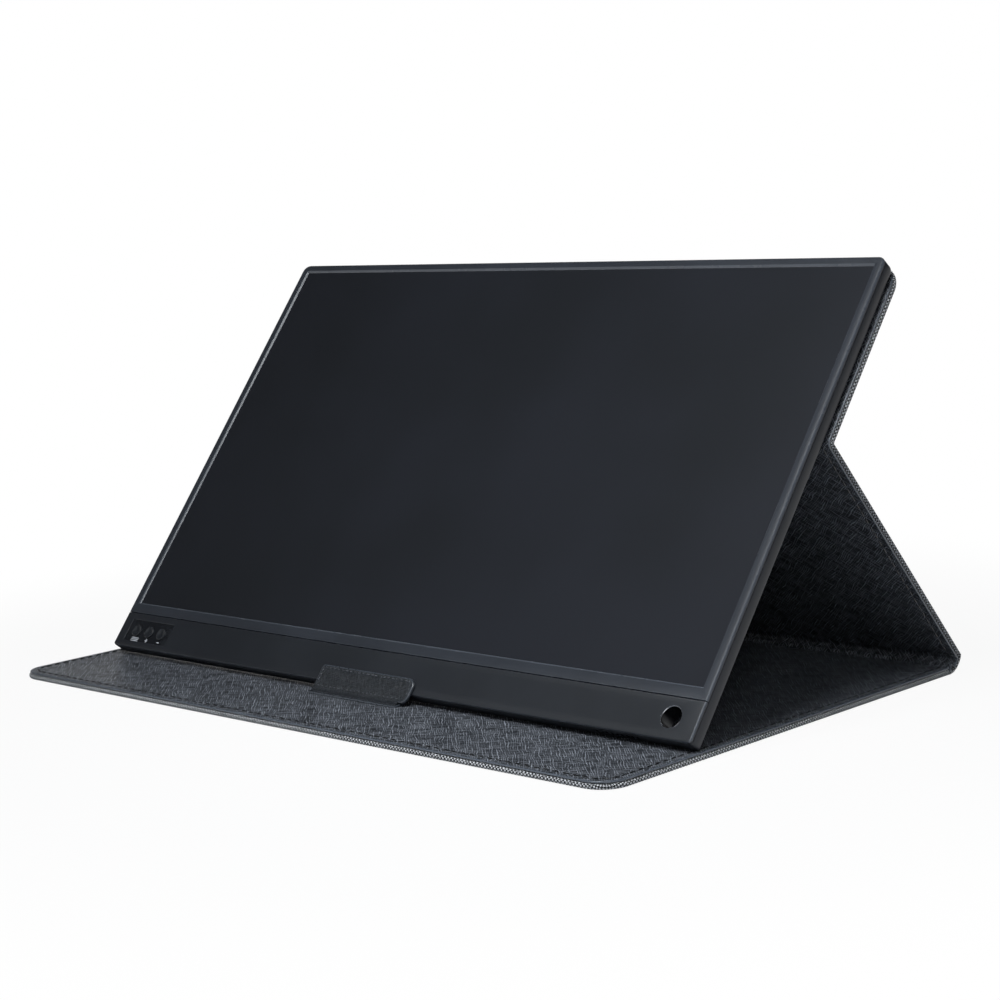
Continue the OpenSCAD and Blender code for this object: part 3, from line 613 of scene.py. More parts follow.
sleeve_profile = [(sleeve_r, 0.1), (sleeve_r, sleeve_seat - 0.02), (mouth_r - 0.02, sleeve_seat - 0.01),
                  (mouth_r - 0.02, monitor_t - 0.06), (mouth_r - 0.08, monitor_t + 0.01),
                  (stand_hole_r + 0.14, monitor_t), (stand_hole_r, monitor_t - 0.2), (stand_hole_r, 0.5),
                  (stand_hole_r + 0.4, 0.02), (sleeve_r - 0.08, 0.02)]
sleeve = Shape().loft(lathe(stand_hole_x, stand_hole_rise, sleeve_profile, 64), wrap=True,
                      finishes=[int(3 <= i <= 5) for i in range(len(sleeve_profile))])
sleeve = sleeve.piece("sleeve", display, sleeve_metal, polished_lip, sharp=30)
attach(sleeve, "display")
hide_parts("stand_hole_sleeve")

# ---- Keys and key plate -----------------------------------------------------------------------
# A glossy plate, sunk a little into the strip, round three dished keys on push switches. Their
# signs are printed white under the keys: three bars for the menu, a plus and a minus.

key_sink, key_proud, key_hole_gap = 0.2, 0.4, 0.2
plate_level = monitor_t - key_sink

key_plate_gloss, tree, shader = finish("key_plate_gloss", 0.22, Coat_Weight=0.3)
smear = effect(tree, "handling")["Mask"]
color_with(tree, shader, smear, srgb("#23252a"), srgb("#2a2d32"))
roughen(tree, shader, smear, 0.2, 0.34, 0, 1)
bump(tree, shader, effect(tree, "moulding", Grain=0.8)["Height"], 0.003)

plate_profile = [(0.05, strip_level), (0.05, plate_level - 0.1), (0.15, plate_level)]
key_panel = Shape().loft(key_window.rings(plate_profile))
key_panel = key_panel.piece("key_panel", display, key_plate_gloss)
key_hole_r, key_bevel = key_r + key_hole_gap, 0.14
key_bore = [(key_hole_r, 6), (key_hole_r, plate_level - 0.12), (key_hole_r + key_bevel, plate_level + 0.02),
            (key_hole_r + key_bevel, 10)]
cut(key_panel, [lathe(x, key_rise, key_bore) for x in key_xs], display)
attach(key_panel, "display")
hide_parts("key_plate")

# The keys' rims take the pale edge colour: partly rubbing, partly painted highlight crescents.
key_plastic = moulded_plastic("key_plastic", srgb("#2f3237"), srgb("#a9adb7"), 0.28, grain=0.2, depth=0.006)
key_top, flange_low, flange_high = plate_level + key_proud, 6.7, 7.3
cap_profile = [(key_flange_r, flange_low), (key_flange_r, flange_high), (key_r, flange_high + 0.02)]
cap_round, cap_dish = 0.35, 0.5
cap_profile += [(key_r - inset, level) for inset, level in rounded(cap_round, 0, key_top)]
cap_profile += [(r, key_top - cap_dish * (1 - (r / (key_r - cap_round)) ** 2))
                for r in (2.4, 2.0, 1.5, 1.0, 0.4)]
for x, name, body in zip(key_xs, ("menu", "plus", "minus"), ("menu_button", "plus_button", "minus_button")):
    cap = Shape().loft(lathe(x, key_rise, cap_profile)).piece(name + "_cap", display, key_plastic, sharp=50)
    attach(cap, body)
    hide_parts(name + "_key")

sign_ink, tree, shader = finish("sign_ink", 0.6)
worn = ramp(tree, noise(tree, in_millimetres(tree), 3.0, 3), 0.25, 0.6)
color_with(tree, shader, worn, srgb("#b8bcc6"), srgb("#e4e6ec"))
sign_rise, stroke, ink_t = 4.3, 0.46, 0.03
menu_x, plus_x, minus_x = -164.35, -155.5, -146.55
strokes = [(menu_x, sign_rise + i * 0.78, 5.4, stroke) for i in (-1, 0, 1)]
strokes += [(plus_x, sign_rise, 1.9, 0.6), (plus_x, sign_rise, 0.6, 1.9), (minus_x, sign_rise, 1.7, 0.6)]
signs = Shape()
for i, (x, y, w, h) in enumerate(strokes):
    top = plate_level + ink_t + (0.002 if w < h else 0)
    signs.loft(box(x - w / 2, x + w / 2, y - h / 2, y + h / 2, plate_level - 0.01, top, 0.12))
signs = signs.piece("key_signs", display, sign_ink)
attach(signs, "display")

# ---- Screen -----------------------------------------------------------------------------------
# The anti-glare glass of the panel is cut square, so the CAD plate stays. Its etched face spreads
# the softbox above it into a faint cloud.

anti_glare, tree, shader = finish("anti_glare_glass", 0.36, Specular_IOR_Level=0.26)
etched = noise(tree, in_millimetres(tree), 9.0, 2)
depth = ramp(tree, noise(tree, in_millimetres(tree), 0.01, 2), 0.3, 0.7)
color_with(tree, shader, depth, srgb("#292b30"), srgb("#2e3037"))
roughen(tree, shader, etched, 0.33, 0.39)
bump(tree, shader, etched, 0.002)


def dress(name, material):
    """Gives a CAD node that stays its finish."""
    mesh = frame["nodes"][name].data
    mesh.materials.clear()
    mesh.materials.append(material)


dress("screen_glass", anti_glare)

# ---- Casing screws ----------------------------------------------------------------------------
# Four small cross-headed steel screws with a black coating, through the housing's back into the
# frame's bosses.

screw_steel, tree, shader = finish("screw_steel", 0.35, 0.9)
tone = blend_colors(tree, effect(tree, "moulding", Grain=0.15)["Shade"], srgb("#3c3e43"), srgb("#5a5c62"))
color_with(tree, shader, effect(tree, "edge_wear_and_highlight", Reach=0.15)["Mask"], tone, srgb("#a2a5ab"))
screw_profile = [(1.2, 0.1), (screw_head_r - 0.2, 0.14), (screw_head_r, 0.35), (screw_head_r, 0.7),
                 (0.8, 0.72), (0.8, 5.8), (0.3, 6.2)]
screws = Shape()
for x in screw_xs:
    screws.loft(lathe(x, screw_rise, screw_profile, 24))
screws = screws.piece("casing_screws", display, screw_steel)
# One bar of the crosses per cut, as cutters that overlap would erase the screws.
for bar_w, bar_h in ((2.0, 0.36), (0.36, 1.99)):
    low, high = screw_rise - bar_h / 2, screw_rise + bar_h / 2
    cut(screws, [box(x - bar_w / 2, x + bar_w / 2, low, high, -0.5, 0.5) for x in screw_xs], display)
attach(screws, "display")
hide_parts("housing_screws")

# ---- Inside the casing ------------------------------------------------------------------------
# What the monitor needs to work keeps its CAD shape: light guide and strip, tray, boards,
# switches, cable, speakers and the four sockets in the left side.


def mottled(name, low, high, roughness, metallic=0.0, scale=1.2, depth=0.01, **shader_inputs):
    """A finish between two colours, broken up by noise at a number of cells per millimetre."""
    made, tree, shader = finish(name, roughness, metallic, **shader_inputs)
    pattern = noise(tree, in_millimetres(tree), scale, 4, 0.6)
    color_with(tree, shader, ramp(tree, pattern, 0.3, 0.7), low, high)
    roughen(tree, shader, pattern, roughness - 0.06, roughness + 0.08)
    bump(tree, shader, pattern, depth)
    return made


def circuit_board():
    """Green solder mask over copper tracks, laid out on a square raster."""
    made, tree, shader = finish("circuit_board", 0.38)
    place = in_millimetres(tree)
    lanes = node(tree, "TexVoronoi", {"Vector": place, "Scale": 0.35}, distance="CHEBYCHEV", feature="F1")
    track = sums(tree, "PINGPONG", sums(tree, "MULTIPLY", lanes.outputs["Distance"], 6.0), 0.5)
    mask = ramp(tree, track, 0.32, 0.4)
    color_with(tree, shader, mask, srgb("#173d22"), srgb("#2f6a3c"))
    bump(tree, shader, mask, 0.03)
    return made


steel = mottled("steel", srgb("#8b8d91"), srgb("#a9abae"), 0.32, 1.0, 0.8, 0.004)
socket_steel = mottled("socket_steel", srgb("#a8aaae"), srgb("#c6c8cb"), 0.26, 1.0, 1.5, 0.004)
black_plastic = mottled("black_plastic", srgb("#1a1b1e"), srgb("#25262a"), 0.45, 0.0, 2.0)
light_guide = mottled("light_guide", srgb("#d9dde0"), srgb("#eceff1"), 0.2, 0.0, 0.2, 0.004)
light_strip = mottled("light_strip", srgb("#e6e1c9"), srgb("#f4f0de"), 0.4, 0.0, 0.9)
ribbon = mottled("ribbon", srgb("#a8803a"), srgb("#c99e50"), 0.35, 0.0, 0.7)
board_green = circuit_board()
inner_finishes = {
    "light_guide": light_guide, "light_strip": light_strip, "screen_tray": steel, "back_plate": steel,
    "main_board": board_green, "driver_board": board_green, "key_board": board_green,
    "key_switches": socket_steel, "ribbon_cable": ribbon, "speaker_left": black_plastic,
    "speaker_right": black_plastic, "usb_socket_lower": socket_steel, "usb_socket_upper": socket_steel,
    "video_socket": socket_steel, "sound_socket": black_plastic,
}
for name, material in inner_finishes.items():
    dress(name, material)

# ---- Cover: base panel --------------------------------------------------------------------------
# Grey board wrapped in a two-tone woven cloth, turned in round the edge, and lined with a
# cross-grained leather whose painted cut edge stops short of the fold. One row of stitches
# runs round the sewn edges and shows on both faces.

panel_t, base_corner_r = 3.2, 12.0
cloth_low, cloth_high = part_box("base_fabric")
cover_half_w, base_front, base_rear = cloth_high[0] / MM, cloth_low[1] / MM, cloth_high[1] / MM
sew_pitch, sew_row = 4.8, 4.2
table = Matrix.Scale(MM, 4)


def drawn_noise(tree, place, scale):
    """Noise over a place that is scaled by its own factor along each axis."""
    mapped = node(tree, "Mapping", {"Vector": place, "Scale": scale}).outputs[0]
    return noise(tree, mapped, 1.0, 2)


# Plain weave of a pale warp and a dark weft. Slubs run along both, and every crossing has a shade
# of its own.
tree, given, made = group("plain weave", {"Thread": 0.5}, ("Fleck", "Height"))
cloth_map = node(tree, "UVMap", uv_map="cloth").outputs[0]
waver = node(tree, "TexNoise", {"Vector": cloth_map, "Scale": 0.35, "Detail": 2}).outputs["Color"]
drawn = node(tree, "VectorMath", {0: waver, "Scale": 0.5}, operation="SCALE").outputs[0]
drawn = node(tree, "VectorMath", {0: cloth_map, 1: drawn}, operation="ADD").outputs[0]
per_thread = sums(tree, "DIVIDE", 1, given["Thread"])
counted = node(tree, "VectorMath", {0: drawn, "Scale": per_thread}, operation="SCALE").outputs[0]
split = node(tree, "SeparateXYZ", {0: counted}).outputs
warp_no, weft_no = (sums(tree, "FLOOR", split[axis]) for axis in "XY")
half_turns = [sums(tree, "MULTIPLY", sums(tree, "FRACT", split[axis]), pi) for axis in "XY"]
warp_up, weft_up = (sums(tree, "SINE", angle) for angle in half_turns)
over = sums(tree, "PINGPONG", sums(tree, "ADD", warp_no, weft_no), 1)
warp_height = sums(tree, "MULTIPLY", warp_up, sums(tree, "MULTIPLY_ADD", weft_up, 0.5, 0.5))
weft_height = sums(tree, "MULTIPLY", weft_up, sums(tree, "MULTIPLY_ADD", warp_up, 0.5, 0.5))
top_thread = node(tree, "Mix", {0: over, 2: weft_height, 3: warp_height}).outputs[0]
float_no = node(tree, "CombineXYZ", {0: warp_no, 1: weft_no, 2: over}).outputs[0]
shade = node(tree, "TexWhiteNoise", {"Vector": float_no}).outputs["Value"]
slubs = [drawn_noise(tree, cloth_map, scale) for scale in ((0.35, 1.7, 1), (1.7, 0.35, 1))]
slub = ramp(tree, node(tree, "Mix", {0: over, 2: slubs[0], 3: slubs[1]}).outputs[0], 0.38, 0.62)
fleck = sums(tree, "MULTIPLY_ADD", over, 0.5, sums(tree, "MULTIPLY", slub, 0.3))
fleck = sums(tree, "MULTIPLY_ADD", shade, 0.25, fleck)
tree.links.new(fleck, made.inputs["Fleck"])
tree.links.new(top_thread, made.inputs["Height"])


def woven_fabric():
    """Salt-and-pepper polyester cloth with a soft sheen, and painted shade between its threads."""
    made, tree, shader = finish("woven_fabric", 0.85, Sheen_Weight=0.5, Sheen_Roughness=0.5,
                                Specular_IOR_Level=0.25)
    weave = effect(tree, "plain weave", Thread=0.86)
    thread = blend_colors(tree, ramp(tree, weave["Fleck"], 0.38, 0.72), srgb("#1d1e23"), srgb("#f6f7fb"))
    # Dark between the threads: painted shade in the hollows of the weave.
    weave_gap_shade = ramp(tree, weave["Height"], 0.02, 0.3)
    color_with(tree, shader, weave_gap_shade, srgb("#1c1d21"), thread)
    bump(tree, shader, weave["Height"], 0.16)
    return made


# Cross grain: wavy ridges pressed in two directions at right angles, each ridge broken into
# streaks, over a fine pebble. Turn leans the pair of directions, in radians.
tree, given, made = group("cross grain", {"Turn": 0.0, "Pitch": 0.95}, ("Height", "Ridge"))
cloth_map = node(tree, "UVMap", uv_map="cloth").outputs[0]
per_ridge = sums(tree, "DIVIDE", 1, given["Pitch"])
ridges = []
for lean in (pi / 4, -pi / 4):
    angle = sums(tree, "ADD", given["Turn"], lean)
    turned = node(tree, "VectorRotate", {"Vector": cloth_map, "Angle": angle}, rotation_type="Z_AXIS")
    counted = node(tree, "VectorMath", {0: turned.outputs[0], "Scale": per_ridge}, operation="SCALE")
    counted = counted.outputs[0]
    across = node(tree, "SeparateXYZ", {0: counted}).outputs["Y"]
    across = sums(tree, "MULTIPLY_ADD", drawn_noise(tree, counted, (0.09, 0.16, 1)), 3.4, across)
    crest = sums(tree, "MULTIPLY", sums(tree, "PINGPONG", across, 0.5), 2)
    streak = ramp(tree, drawn_noise(tree, counted, (0.10, 0.9, 1)), 0.38, 0.66, 0.05, 1.0)
    ridges.append(sums(tree, "MULTIPLY", ramp(tree, crest, 0.5, 0.92), streak))
pressed = sums(tree, "MAXIMUM", *ridges)
pebble = node(tree, "TexVoronoi", {"Vector": cloth_map, "Scale": 3.4}).outputs["Distance"]
tree.links.new(sums(tree, "MULTIPLY_ADD", pebble, -0.3, pressed), made.inputs["Height"])
tree.links.new(pressed, made.inputs["Ridge"])


def grained_leather_painted_highlights(name, low, high, roughness, turn=0.0, pitch=0.95, depth=0.14):
    """Coated leather: the crests of its ridges are smoother than the hollows and painted paler, as painted
    highlights along the grain.
    """
    made, tree, shader = finish(name, roughness, Coat_Weight=0.1, Coat_Roughness=0.35)
    grain = effect(tree, "cross grain", Turn=turn, Pitch=pitch)
    smear = effect(tree, "handling")["Mask"]
    # The pale crests are painted highlights: streaks of light along the ridges.
    color_with(tree, shader, grain["Ridge"], low, high)
    gloss = sums(tree, "MULTIPLY_ADD", smear, 0.08, roughness - 0.04)
    tree.links.new(sums(tree, "MULTIPLY_ADD", grain["Ridge"], -0.12, gloss), shader.inputs["Roughness"])
    bump(tree, shader, grain["Height"], depth)
    return made


def painted_edge(name, low, high):
    """The leather's cut edge, sealed with two coats of glossy paint; its paler colour is partly the paint's own
    and partly a painted highlight.
    """
    made, tree, shader = finish(name, 0.28, Coat_Weight=0.4)
    ripple = noise(tree, in_millimetres(tree), 0.9, 3)
    # Paler than the leather: the paint's tone and a painted highlight along the edge.
    color_with(tree, shader, ripple, low, high)
    roughen(tree, shader, ripple, 0.22, 0.4)
    bump(tree, shader, ripple, 0.08)
    return made


def sewing_thread(name, low, high):
    """Waxed polyester thread; its three plies are banded paler and darker along their turns, a painted highlight
    and painted shade.
    """
    made, tree, shader = finish(name, 0.34, Coat_Weight=0.3)
    twist_and_ply_shading = node(tree, "TexWave", {"Vector": in_millimetres(tree), "Scale": 1.6, "Distortion": 1.5})
    # The pale and dark bands on the plies are painted highlight and painted shade.
    color_with(tree, shader, twist_and_ply_shading.outputs[1], low, high)
    bump(tree, shader, twist_and_ply_shading.outputs[1], 0.05)
    return made


cloth, thread = woven_fabric(), sewing_thread("sewing_thread", srgb("#0d0e11"), srgb("#24262b"))
edge_paint_and_highlight = painted_edge("edge_paint_and_highlight", srgb("#555c67"), srgb("#6f7783"))
leather = grained_leather_painted_highlights("leather", srgb("#212429"), srgb("#bcc2ce"), 0.46)

# The fold of the cloth, from the outer face round the edge to the board, with the stitch row
# drawn in; then the lining, from its middle out to its painted edge.
wrap_profile = [(8.0, 0.0), (sew_row + 0.45, 0.0), (sew_row, 0.16, -0.12), (sew_row - 0.45, 0.02), (1.3, 0.0),
                (0.62, 0.07), (0.24, 0.3), (0.05, 0.7), (0.0, 1.1), (0.05, 1.5), (0.25, 1.86), (0.6, 2.08),
                (1.0, 2.14), (1.6, 2.1), (1.97, 1.9), (1.97, 0.62)]
lining_profile = [(8.0, panel_t), (sew_row + 0.55, panel_t), (sew_row + 0.22, panel_t - 0.07),
                  (sew_row, panel_t - 0.13, 0.14), (sew_row - 0.22, panel_t - 0.07), (sew_row - 0.6, panel_t),
                  (1.15, panel_t), (0.82, panel_t - 0.04), (0.63, panel_t - 0.16), (0.56, panel_t - 0.36),
                  (0.58, panel_t - 0.6), (0.72, panel_t - 0.74)]
edge_from = 7  # the step of the lining's profile where its painted edge begins
stitch_w, sew_sink, under_level = 0.74, 0.1, 0.52


def unrolled(outline, profile):
    """The rings of a cloth profile, and the same rings laid out flat."""
    flat = profile[0][0]
    maps = [outline.ring(flat, 0)]
    for (inset, level, *_), (next_inset, next_level, *_) in zip(profile, profile[1:]):
        flat -= hypot(next_inset - inset, next_level - level)
        maps.append(outline.ring(flat, 0))
    return outline.rings(profile), [[(p.x, p.y) for p in ring] for ring in maps]


def sew(shape, points, starts, lift, width=stitch_w):
    """Stitches that each span four steps of a path, arched along a lift vector."""
    arch = ((0.14, -0.6, 0.45), (0.27, 0.2, 0.9), (0.5, 0.5, 1.0), (0.73, 0.2, 0.9), (0.86, -0.6, 0.45))
    for start in starts:
        begin, end = points[start].copy(), points[(start + 4) % len(points)].copy()
        begin.z = end.z = points[(start + 2) % len(points)].z
        side = (end - begin).normalized().cross(lift).normalized()
        slant = side * 0.09
        sections = []
        for t, rise, thick in arch:
            middle = (begin - slant).lerp(end + slant, t) + lift * rise * width / 2
            turns = [2 * pi * i / 6 for i in range(6)]
            sections.append([middle + (side * cos(a) + lift * sin(a)) * thick * width / 2 for a in turns])
        shape.loft(sections)


def dressed_panel(name, outline, place, body, replaced):
    """Cloth, lining and stitches of one stiff panel, on a body."""
    rings, maps = unrolled(outline, wrap_profile)
    wrap = Shape().loft(rings, maps).piece(name + "_cloth", place, cloth)
    rings, maps = unrolled(outline, lining_profile)
    finishes = [1 if i >= edge_from - 1 else 0 for i in range(len(rings))]
    lining = Shape().loft(rings, maps, finishes=finishes)
    lining = lining.piece(name + "_lining", place, leather, edge_paint_and_highlight)
    seam = Shape()
    sew(seam, outline.ring(sew_row, panel_t - sew_sink), outline.stitch_starts, Vector((0, 0, 1)))
    sew(seam, outline.ring(sew_row, under_level), outline.stitch_starts, Vector((0, 0, -1)))
    seam = seam.piece(name + "_stitches", place, thread)
    for piece, slot in ((wrap, "woven_fabric"), (lining, "leather"), (seam, "leather_dark")):
        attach(piece, body)
    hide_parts(replaced + "_fabric")
    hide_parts(replaced + "_liner")


base = Outline(-cover_half_w, cover_half_w, base_front, base_rear, (base_corner_r, 0, 0, base_corner_r),
               flush=("top",), sewn=("left", "bottom", "right"), pitch=sew_pitch)
dressed_panel("base", base, table, "base_panel", "base")

# ---- Cover: leg panel and upper panel -----------------------------------------------------------
# The same make as the base. The leg runs on at both ends, into the spine below and the crease
# above; the upper panel lies on the monitor's back and holds it by magnets.

joints = {joint["name"]: joint for joint in frame["joints"]}
leg_foot, crease = (Vector(joints[name]["pos_m"]) for name in ("leg_raise", "crease_fold"))
leg_up = (crease - leg_foot).normalized()
leg_in = Vector((0, -leg_up.z, leg_up.y))
leg_len = (crease - leg_foot).length / MM
leg = axes(leg_foot, leg_up, leg_in)
leg_outline = Outline(-cover_half_w, cover_half_w, 0, leg_len, (0,) * 4, flush=("top", "bottom"),
                      sewn=("left", "right"), pitch=sew_pitch)
dressed_panel("leg", leg_outline, leg, "leg_panel", "leg")

upper_len, upper_corner_r = 85.5, 12.0
upper = axes(crease, screen_up, screen_out)
upper_outline = Outline(-cover_half_w, cover_half_w, 0, upper_len, (0, upper_corner_r, upper_corner_r, 0),
                        flush=("bottom",), sewn=("left", "top", "right"), pitch=sew_pitch)
dressed_panel("upper", upper_outline, upper, "display", "upper")

cover_board = mottled("cover_board", srgb("#5d584e"), srgb("#7d776b"), 0.9, 0.0, 1.5, 0.05)
magnet = mottled("magnet", srgb("#9b9da1"), srgb("#babcc0"), 0.3, 1.0, 0.6, 0.005)
for name in ("base_board", "leg_board", "upper_board"):
    dress(name, cover_board)
for name in ("base_magnets", "upper_magnets"):
    dress(name, magnet)
dress("tab_stiffener", steel)

# ---- Cover: spine -------------------------------------------------------------------------------
# Cloth and lining without a board, so that the cover folds here. The cloth runs in one arc from
# the base to the leg's foot, and the lining is gathered into pleats over it.

spine_turn = 2 * Vector((leg_foot.y / MM - base_rear, leg_foot.z / MM)).angle(Vector((1, 0)))
spine_r = (leg_foot.y / MM - base_rear) / sin(spine_turn)
spine_len = spine_r * spine_turn
spine_cloth_t, liner_t = 1.05, 0.8
fan_from = Vector((0, -sin(spine_turn), cos(spine_turn)))
fan_turn, fan_len = fan_from.angle(leg_in), 1.6
# The pleats, as places along the spine with the height there of the lining's middle.
pleats = ((0, 2.8), (0.7, 3.2), (2.3, 1.4), (4.5, 3.5), (6.6, 1.15), (8.7, 1.1), (10.2, 1.5), (11.1, 4.0),
          (12.6, 1.6), (spine_len, 2.4), (spine_len + fan_len, 2.8))


def spine_station(d):
    """Outer point and inward direction of the spine, d along the cloth from the base panel."""
    if d <= spine_len:
        a = d / spine_r
        inward = Vector((0, -sin(a), cos(a)))
        return Vector((0, base_rear, spine_r)) - inward * spine_r, inward
    inward = Matrix.Rotation(fan_turn * (d - spine_len) / fan_len, 4, "X") @ fan_from
    return leg_foot / MM, inward


def spine_depth(d):
    """Thickness of the cloth's fold along the spine: at both ends it ramps up to the panels'."""
    ramp_len = 0.8
    ends = max(exp(-(d / ramp_len) ** 2), exp(-(max(spine_len - d, 0) / ramp_len) ** 2))
    return spine_cloth_t + (panel_t - spine_cloth_t) * ends


def lining_level(d):
    """Height of the lining's middle over the cloth's outer face, eased from pleat to pleat."""
    for (low, low_level), (high, high_level) in zip(pleats, pleats[1:]):
        if d <= high:
            return low_level + (high_level - low_level) * (1 - cos(pi * (d - low) / (high - low))) / 2
    return pleats[-1][1]


def swept(stations, section, bands=()):
    """Lofts a cross section along (distance, point, inward) stations."""
    rings, maps = [], []
    for d, point, inward in stations:
        cross = section(d)
        rings.append([point + Vector((x, 0, 0)) + inward * level for x, level, _ in cross])
        maps.append([(u, d) for _, _, u in cross])
    return Shape().loft(rings, maps, bands=bands)


def cloth_cross(depth):
    """The turned-in cloth as a closed section, scaled to the cover's thickness."""
    half, unrolled_x = [], cover_half_w - 1.3
    last = (1.3, 0.0)
    for inset, level in [step[:2] for step in wrap_profile[4:15]]:
        unrolled_x += hypot(inset - last[0], level - last[1])
        last = (inset, level)
        half.append((cover_half_w - inset, level * depth / panel_t, unrolled_x))
    return half[::-1] + [(-x, level, -u) for x, level, u in half]


def lining_cross(level):
    """The lining as a closed section round its middle level; its painted edges are the edge bands."""
    top = level + liner_t / 2
    right = [(cover_half_w - inset, top - panel_t + low) for inset, low in lining_profile[edge_from - 1:]]
    loop = right + [(-x, low) for x, low in right[::-1]]
    return [(x, low, x) for x, low in loop]


edge_steps = len(lining_profile) - edge_from
edge_bands = (*range(edge_steps), *range(edge_steps + 1, 2 * edge_steps + 1))


def steps(low, high, count):
    """Evenly spaced values, both ends among them."""
    return [low + (high - low) * i / count for i in range(count + 1)]


def spine_strip(name, d0, d1, count):
    """Cloth and lining between two distances."""
    stations = [(d, *spine_station(d)) for d in steps(d0, d1, count)]
    cloth_shape = swept(stations, lambda d: cloth_cross(spine_depth(d)))
    lining_shape = swept(stations, lambda d: lining_cross(lining_level(d)), edge_bands)
    pieces = [cloth_shape.piece(name + "_cloth", table, cloth),
              lining_shape.piece(name + "_lining", table, leather, edge_paint_and_highlight)]
    for piece, slot in zip(pieces, ("woven_fabric", "leather")):
        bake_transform(piece)
    return pieces


strips = spine_strip("spine_lower", 0, spine_len, 90)
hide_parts("spine_fabric")
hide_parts("spine_liner")
spine_strip("spine_upper", spine_len, spine_len + fan_len, 12)

# ---- Cover: crease ------------------------------------------------------------------------------
# The boards leave a narrow channel between leg and upper panel, where the lining bends round the
# fold of the cloth.

fold_from, fold_to = leg_in, screen_out
crease_turn = fold_from.angle(fold_to)


def crease_station(t):
    """Fold line and inward direction, t of the way from the leg to the upper panel."""
    inward = Matrix.Rotation(-crease_turn * t, 4, "X") @ fold_from
    return t * panel_t * crease_turn, crease / MM, inward


stations = [crease_station(t) for t in steps(0, 1, 10)]
crease_cloth = swept(stations, lambda d: [(x, max(level, 0.1), u) for x, level, u in cloth_cross(panel_t)])
crease_cloth = crease_cloth.piece("crease_cloth", table, cloth)
crease_lining = swept(stations, lambda d: lining_cross(panel_t - liner_t / 2), edge_bands)
crease_lining = crease_lining.piece("crease_lining", table, leather, edge_paint_and_highlight)
for strip, slot in ((crease_cloth, "woven_fabric"), (crease_lining, "leather_dark")):
    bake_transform(strip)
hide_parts("crease_strip")

# ---- Front tab ----------------------------------------------------------------------------------
# One piece of the lining's leather, doubled over a steel core. Its leaf stands against the chin
# and keeps the monitor from sliding; its foot is sewn to the base panel beside the fold.

tab_left, tab_right, leaf_h, leaf_t, flange_t = -26.2, 31.8, 11.2, 1.4, 0.9
flange_front, flange_back, foot_right = 4.0, 3.0, tab_right - 4.0
leaf_stitch, leaf_row, tab_stitch_w, tab_sew_sink = 2.6, 1.5, 0.62, 0.24
tab_fold = Vector(joints["tab_fold"]["pos_m"])
leaf_frame = axes(tab_fold, screen_up, screen_out)
tab_leather = grained_leather_painted_highlights("tab_leather", srgb("#23262b"), srgb("#4a5058"), 0.40, turn=radians(20),
                              pitch=0.6, depth=0.12)
tab_edge_paint = painted_edge("tab_edge_paint", srgb("#3a3f46"), srgb("#5a616b"))

leaf_outline = Outline(tab_left, tab_right, -0.62, leaf_h, (3.5, 4.0, 1.6, 0), sewn=("left", "top", "right"),
                       pitch=leaf_stitch)
face = leaf_t / 2
leaf_profile = [(3.0, face), (leaf_row + 0.35, face - 0.02), (leaf_row, face - 0.12, 0.1),
                (leaf_row - 0.35, face - 0.03), (0.7, face + 0.02), (0.32, face - 0.04), (0.08, face - 0.22),
                (0.0, 0.0), (0.08, 0.22 - face), (0.32, 0.04 - face), (3.0, -face)]
leaf_rings, leaf_maps = unrolled(leaf_outline, leaf_profile)
leaf_finishes = [1 if 4 <= i < 9 else 0 for i in range(len(leaf_profile))]
leaf = Shape().loft(leaf_rings, leaf_maps, finishes=leaf_finishes)
leaf = leaf.piece("tab_leaf_leather", leaf_frame, tab_leather, tab_edge_paint)
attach(leaf, "tab")
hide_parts("tab_leaf")

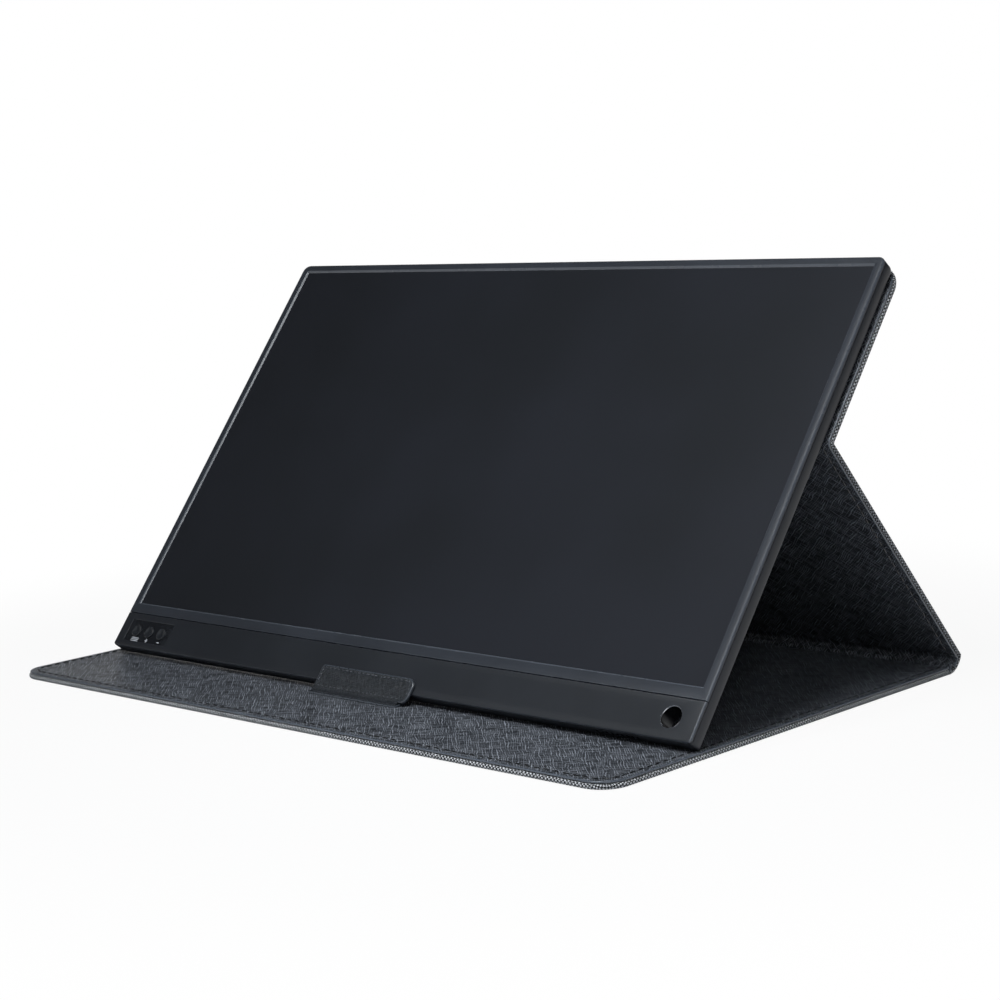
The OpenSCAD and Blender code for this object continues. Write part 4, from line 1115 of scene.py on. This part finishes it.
foot_frame = Matrix.Translation((0, tab_fold.y, panel_t * MM)) @ table
foot_outline = Outline(tab_left, foot_right, -flange_front, flange_back, (2.0, 0, 0, 1.2), arc_steps=6)
foot_profile = [(1.2, flange_t), (0.35, flange_t), (0.1, flange_t - 0.15), (0.0, flange_t / 2), (0.06, 0.05),
                (1.0, 0.02)]
foot_rings, foot_maps = unrolled(foot_outline, foot_profile)
foot = Shape().loft(foot_rings, foot_maps, finishes=[0, 1, 1, 1, 1, 1])
foot = foot.piece("tab_foot", foot_frame, tab_leather, tab_edge_paint)
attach(foot, "base_panel")
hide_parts("tab_flange")

# The leather's bend from foot to leaf, a thin strip.
bend_t, bend_inset, bend_len, bend_rise = 0.22, 0.25, 5.5, 2.2
foot_point = Vector((0, -2.6, flange_t))
fold_lift = tab_fold.z / MM - panel_t
leaf_point = Vector((0, screen_up.y * bend_rise + screen_out.y * face,
                     fold_lift + screen_up.z * bend_rise + screen_out.z * face))
pull_point = Vector((0, screen_out.y * face - 0.25, flange_t + 0.25))


def bend_station(t):
    """Point and outward direction on the curve from foot to leaf."""
    a, b = foot_point.lerp(pull_point, t), pull_point.lerp(leaf_point, t)
    along = (b - a).normalized()
    return t * bend_len, a.lerp(b, t), Vector((0, -along.z, along.y))


def bend_section(_):
    """Thin strip as wide as the tab."""
    left, right = tab_left + bend_inset, foot_right - bend_inset
    return [(right, bend_t, right), (left, bend_t, left), (left, -0.1, left), (right, -0.1, right)]


bend_stations = [bend_station(t) for t in steps(0, 1, 10)]
bend = swept(bend_stations, bend_section).piece("tab_bend", foot_frame, tab_leather)
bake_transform(bend)

tab_thread = sewing_thread("tab_thread", srgb("#060708"), srgb("#7b818c"))
row_from, row_to = tab_left + 1.6, foot_right - 0.8
row_steps = 4 * round((row_to - row_from) / leaf_stitch)
outward = Vector((0, 0, 1))


def straight_row(shape, y, level):
    """A straight row of the tab's stitches."""
    row = [Vector((x, y, level - tab_sew_sink)) for x in steps(row_from, row_to, row_steps)]
    sew(shape, row, range(0, row_steps, 4), outward, tab_stitch_w)


leaf_seam, foot_seam = Shape(), Shape()
leaf_ring = leaf_outline.ring(leaf_row, face - tab_sew_sink)
sew(leaf_seam, leaf_ring, leaf_outline.stitch_starts, outward, tab_stitch_w)
straight_row(leaf_seam, 1.1, face)
straight_row(foot_seam, -2.5, flange_t)
leaf_seam = leaf_seam.piece("tab_leaf_stitches", leaf_frame, tab_thread)
foot_seam = foot_seam.piece("tab_foot_stitches", foot_frame, tab_thread)
for piece, body in ((leaf_seam, "tab"), (foot_seam, "base_panel")):
    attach(piece, body)
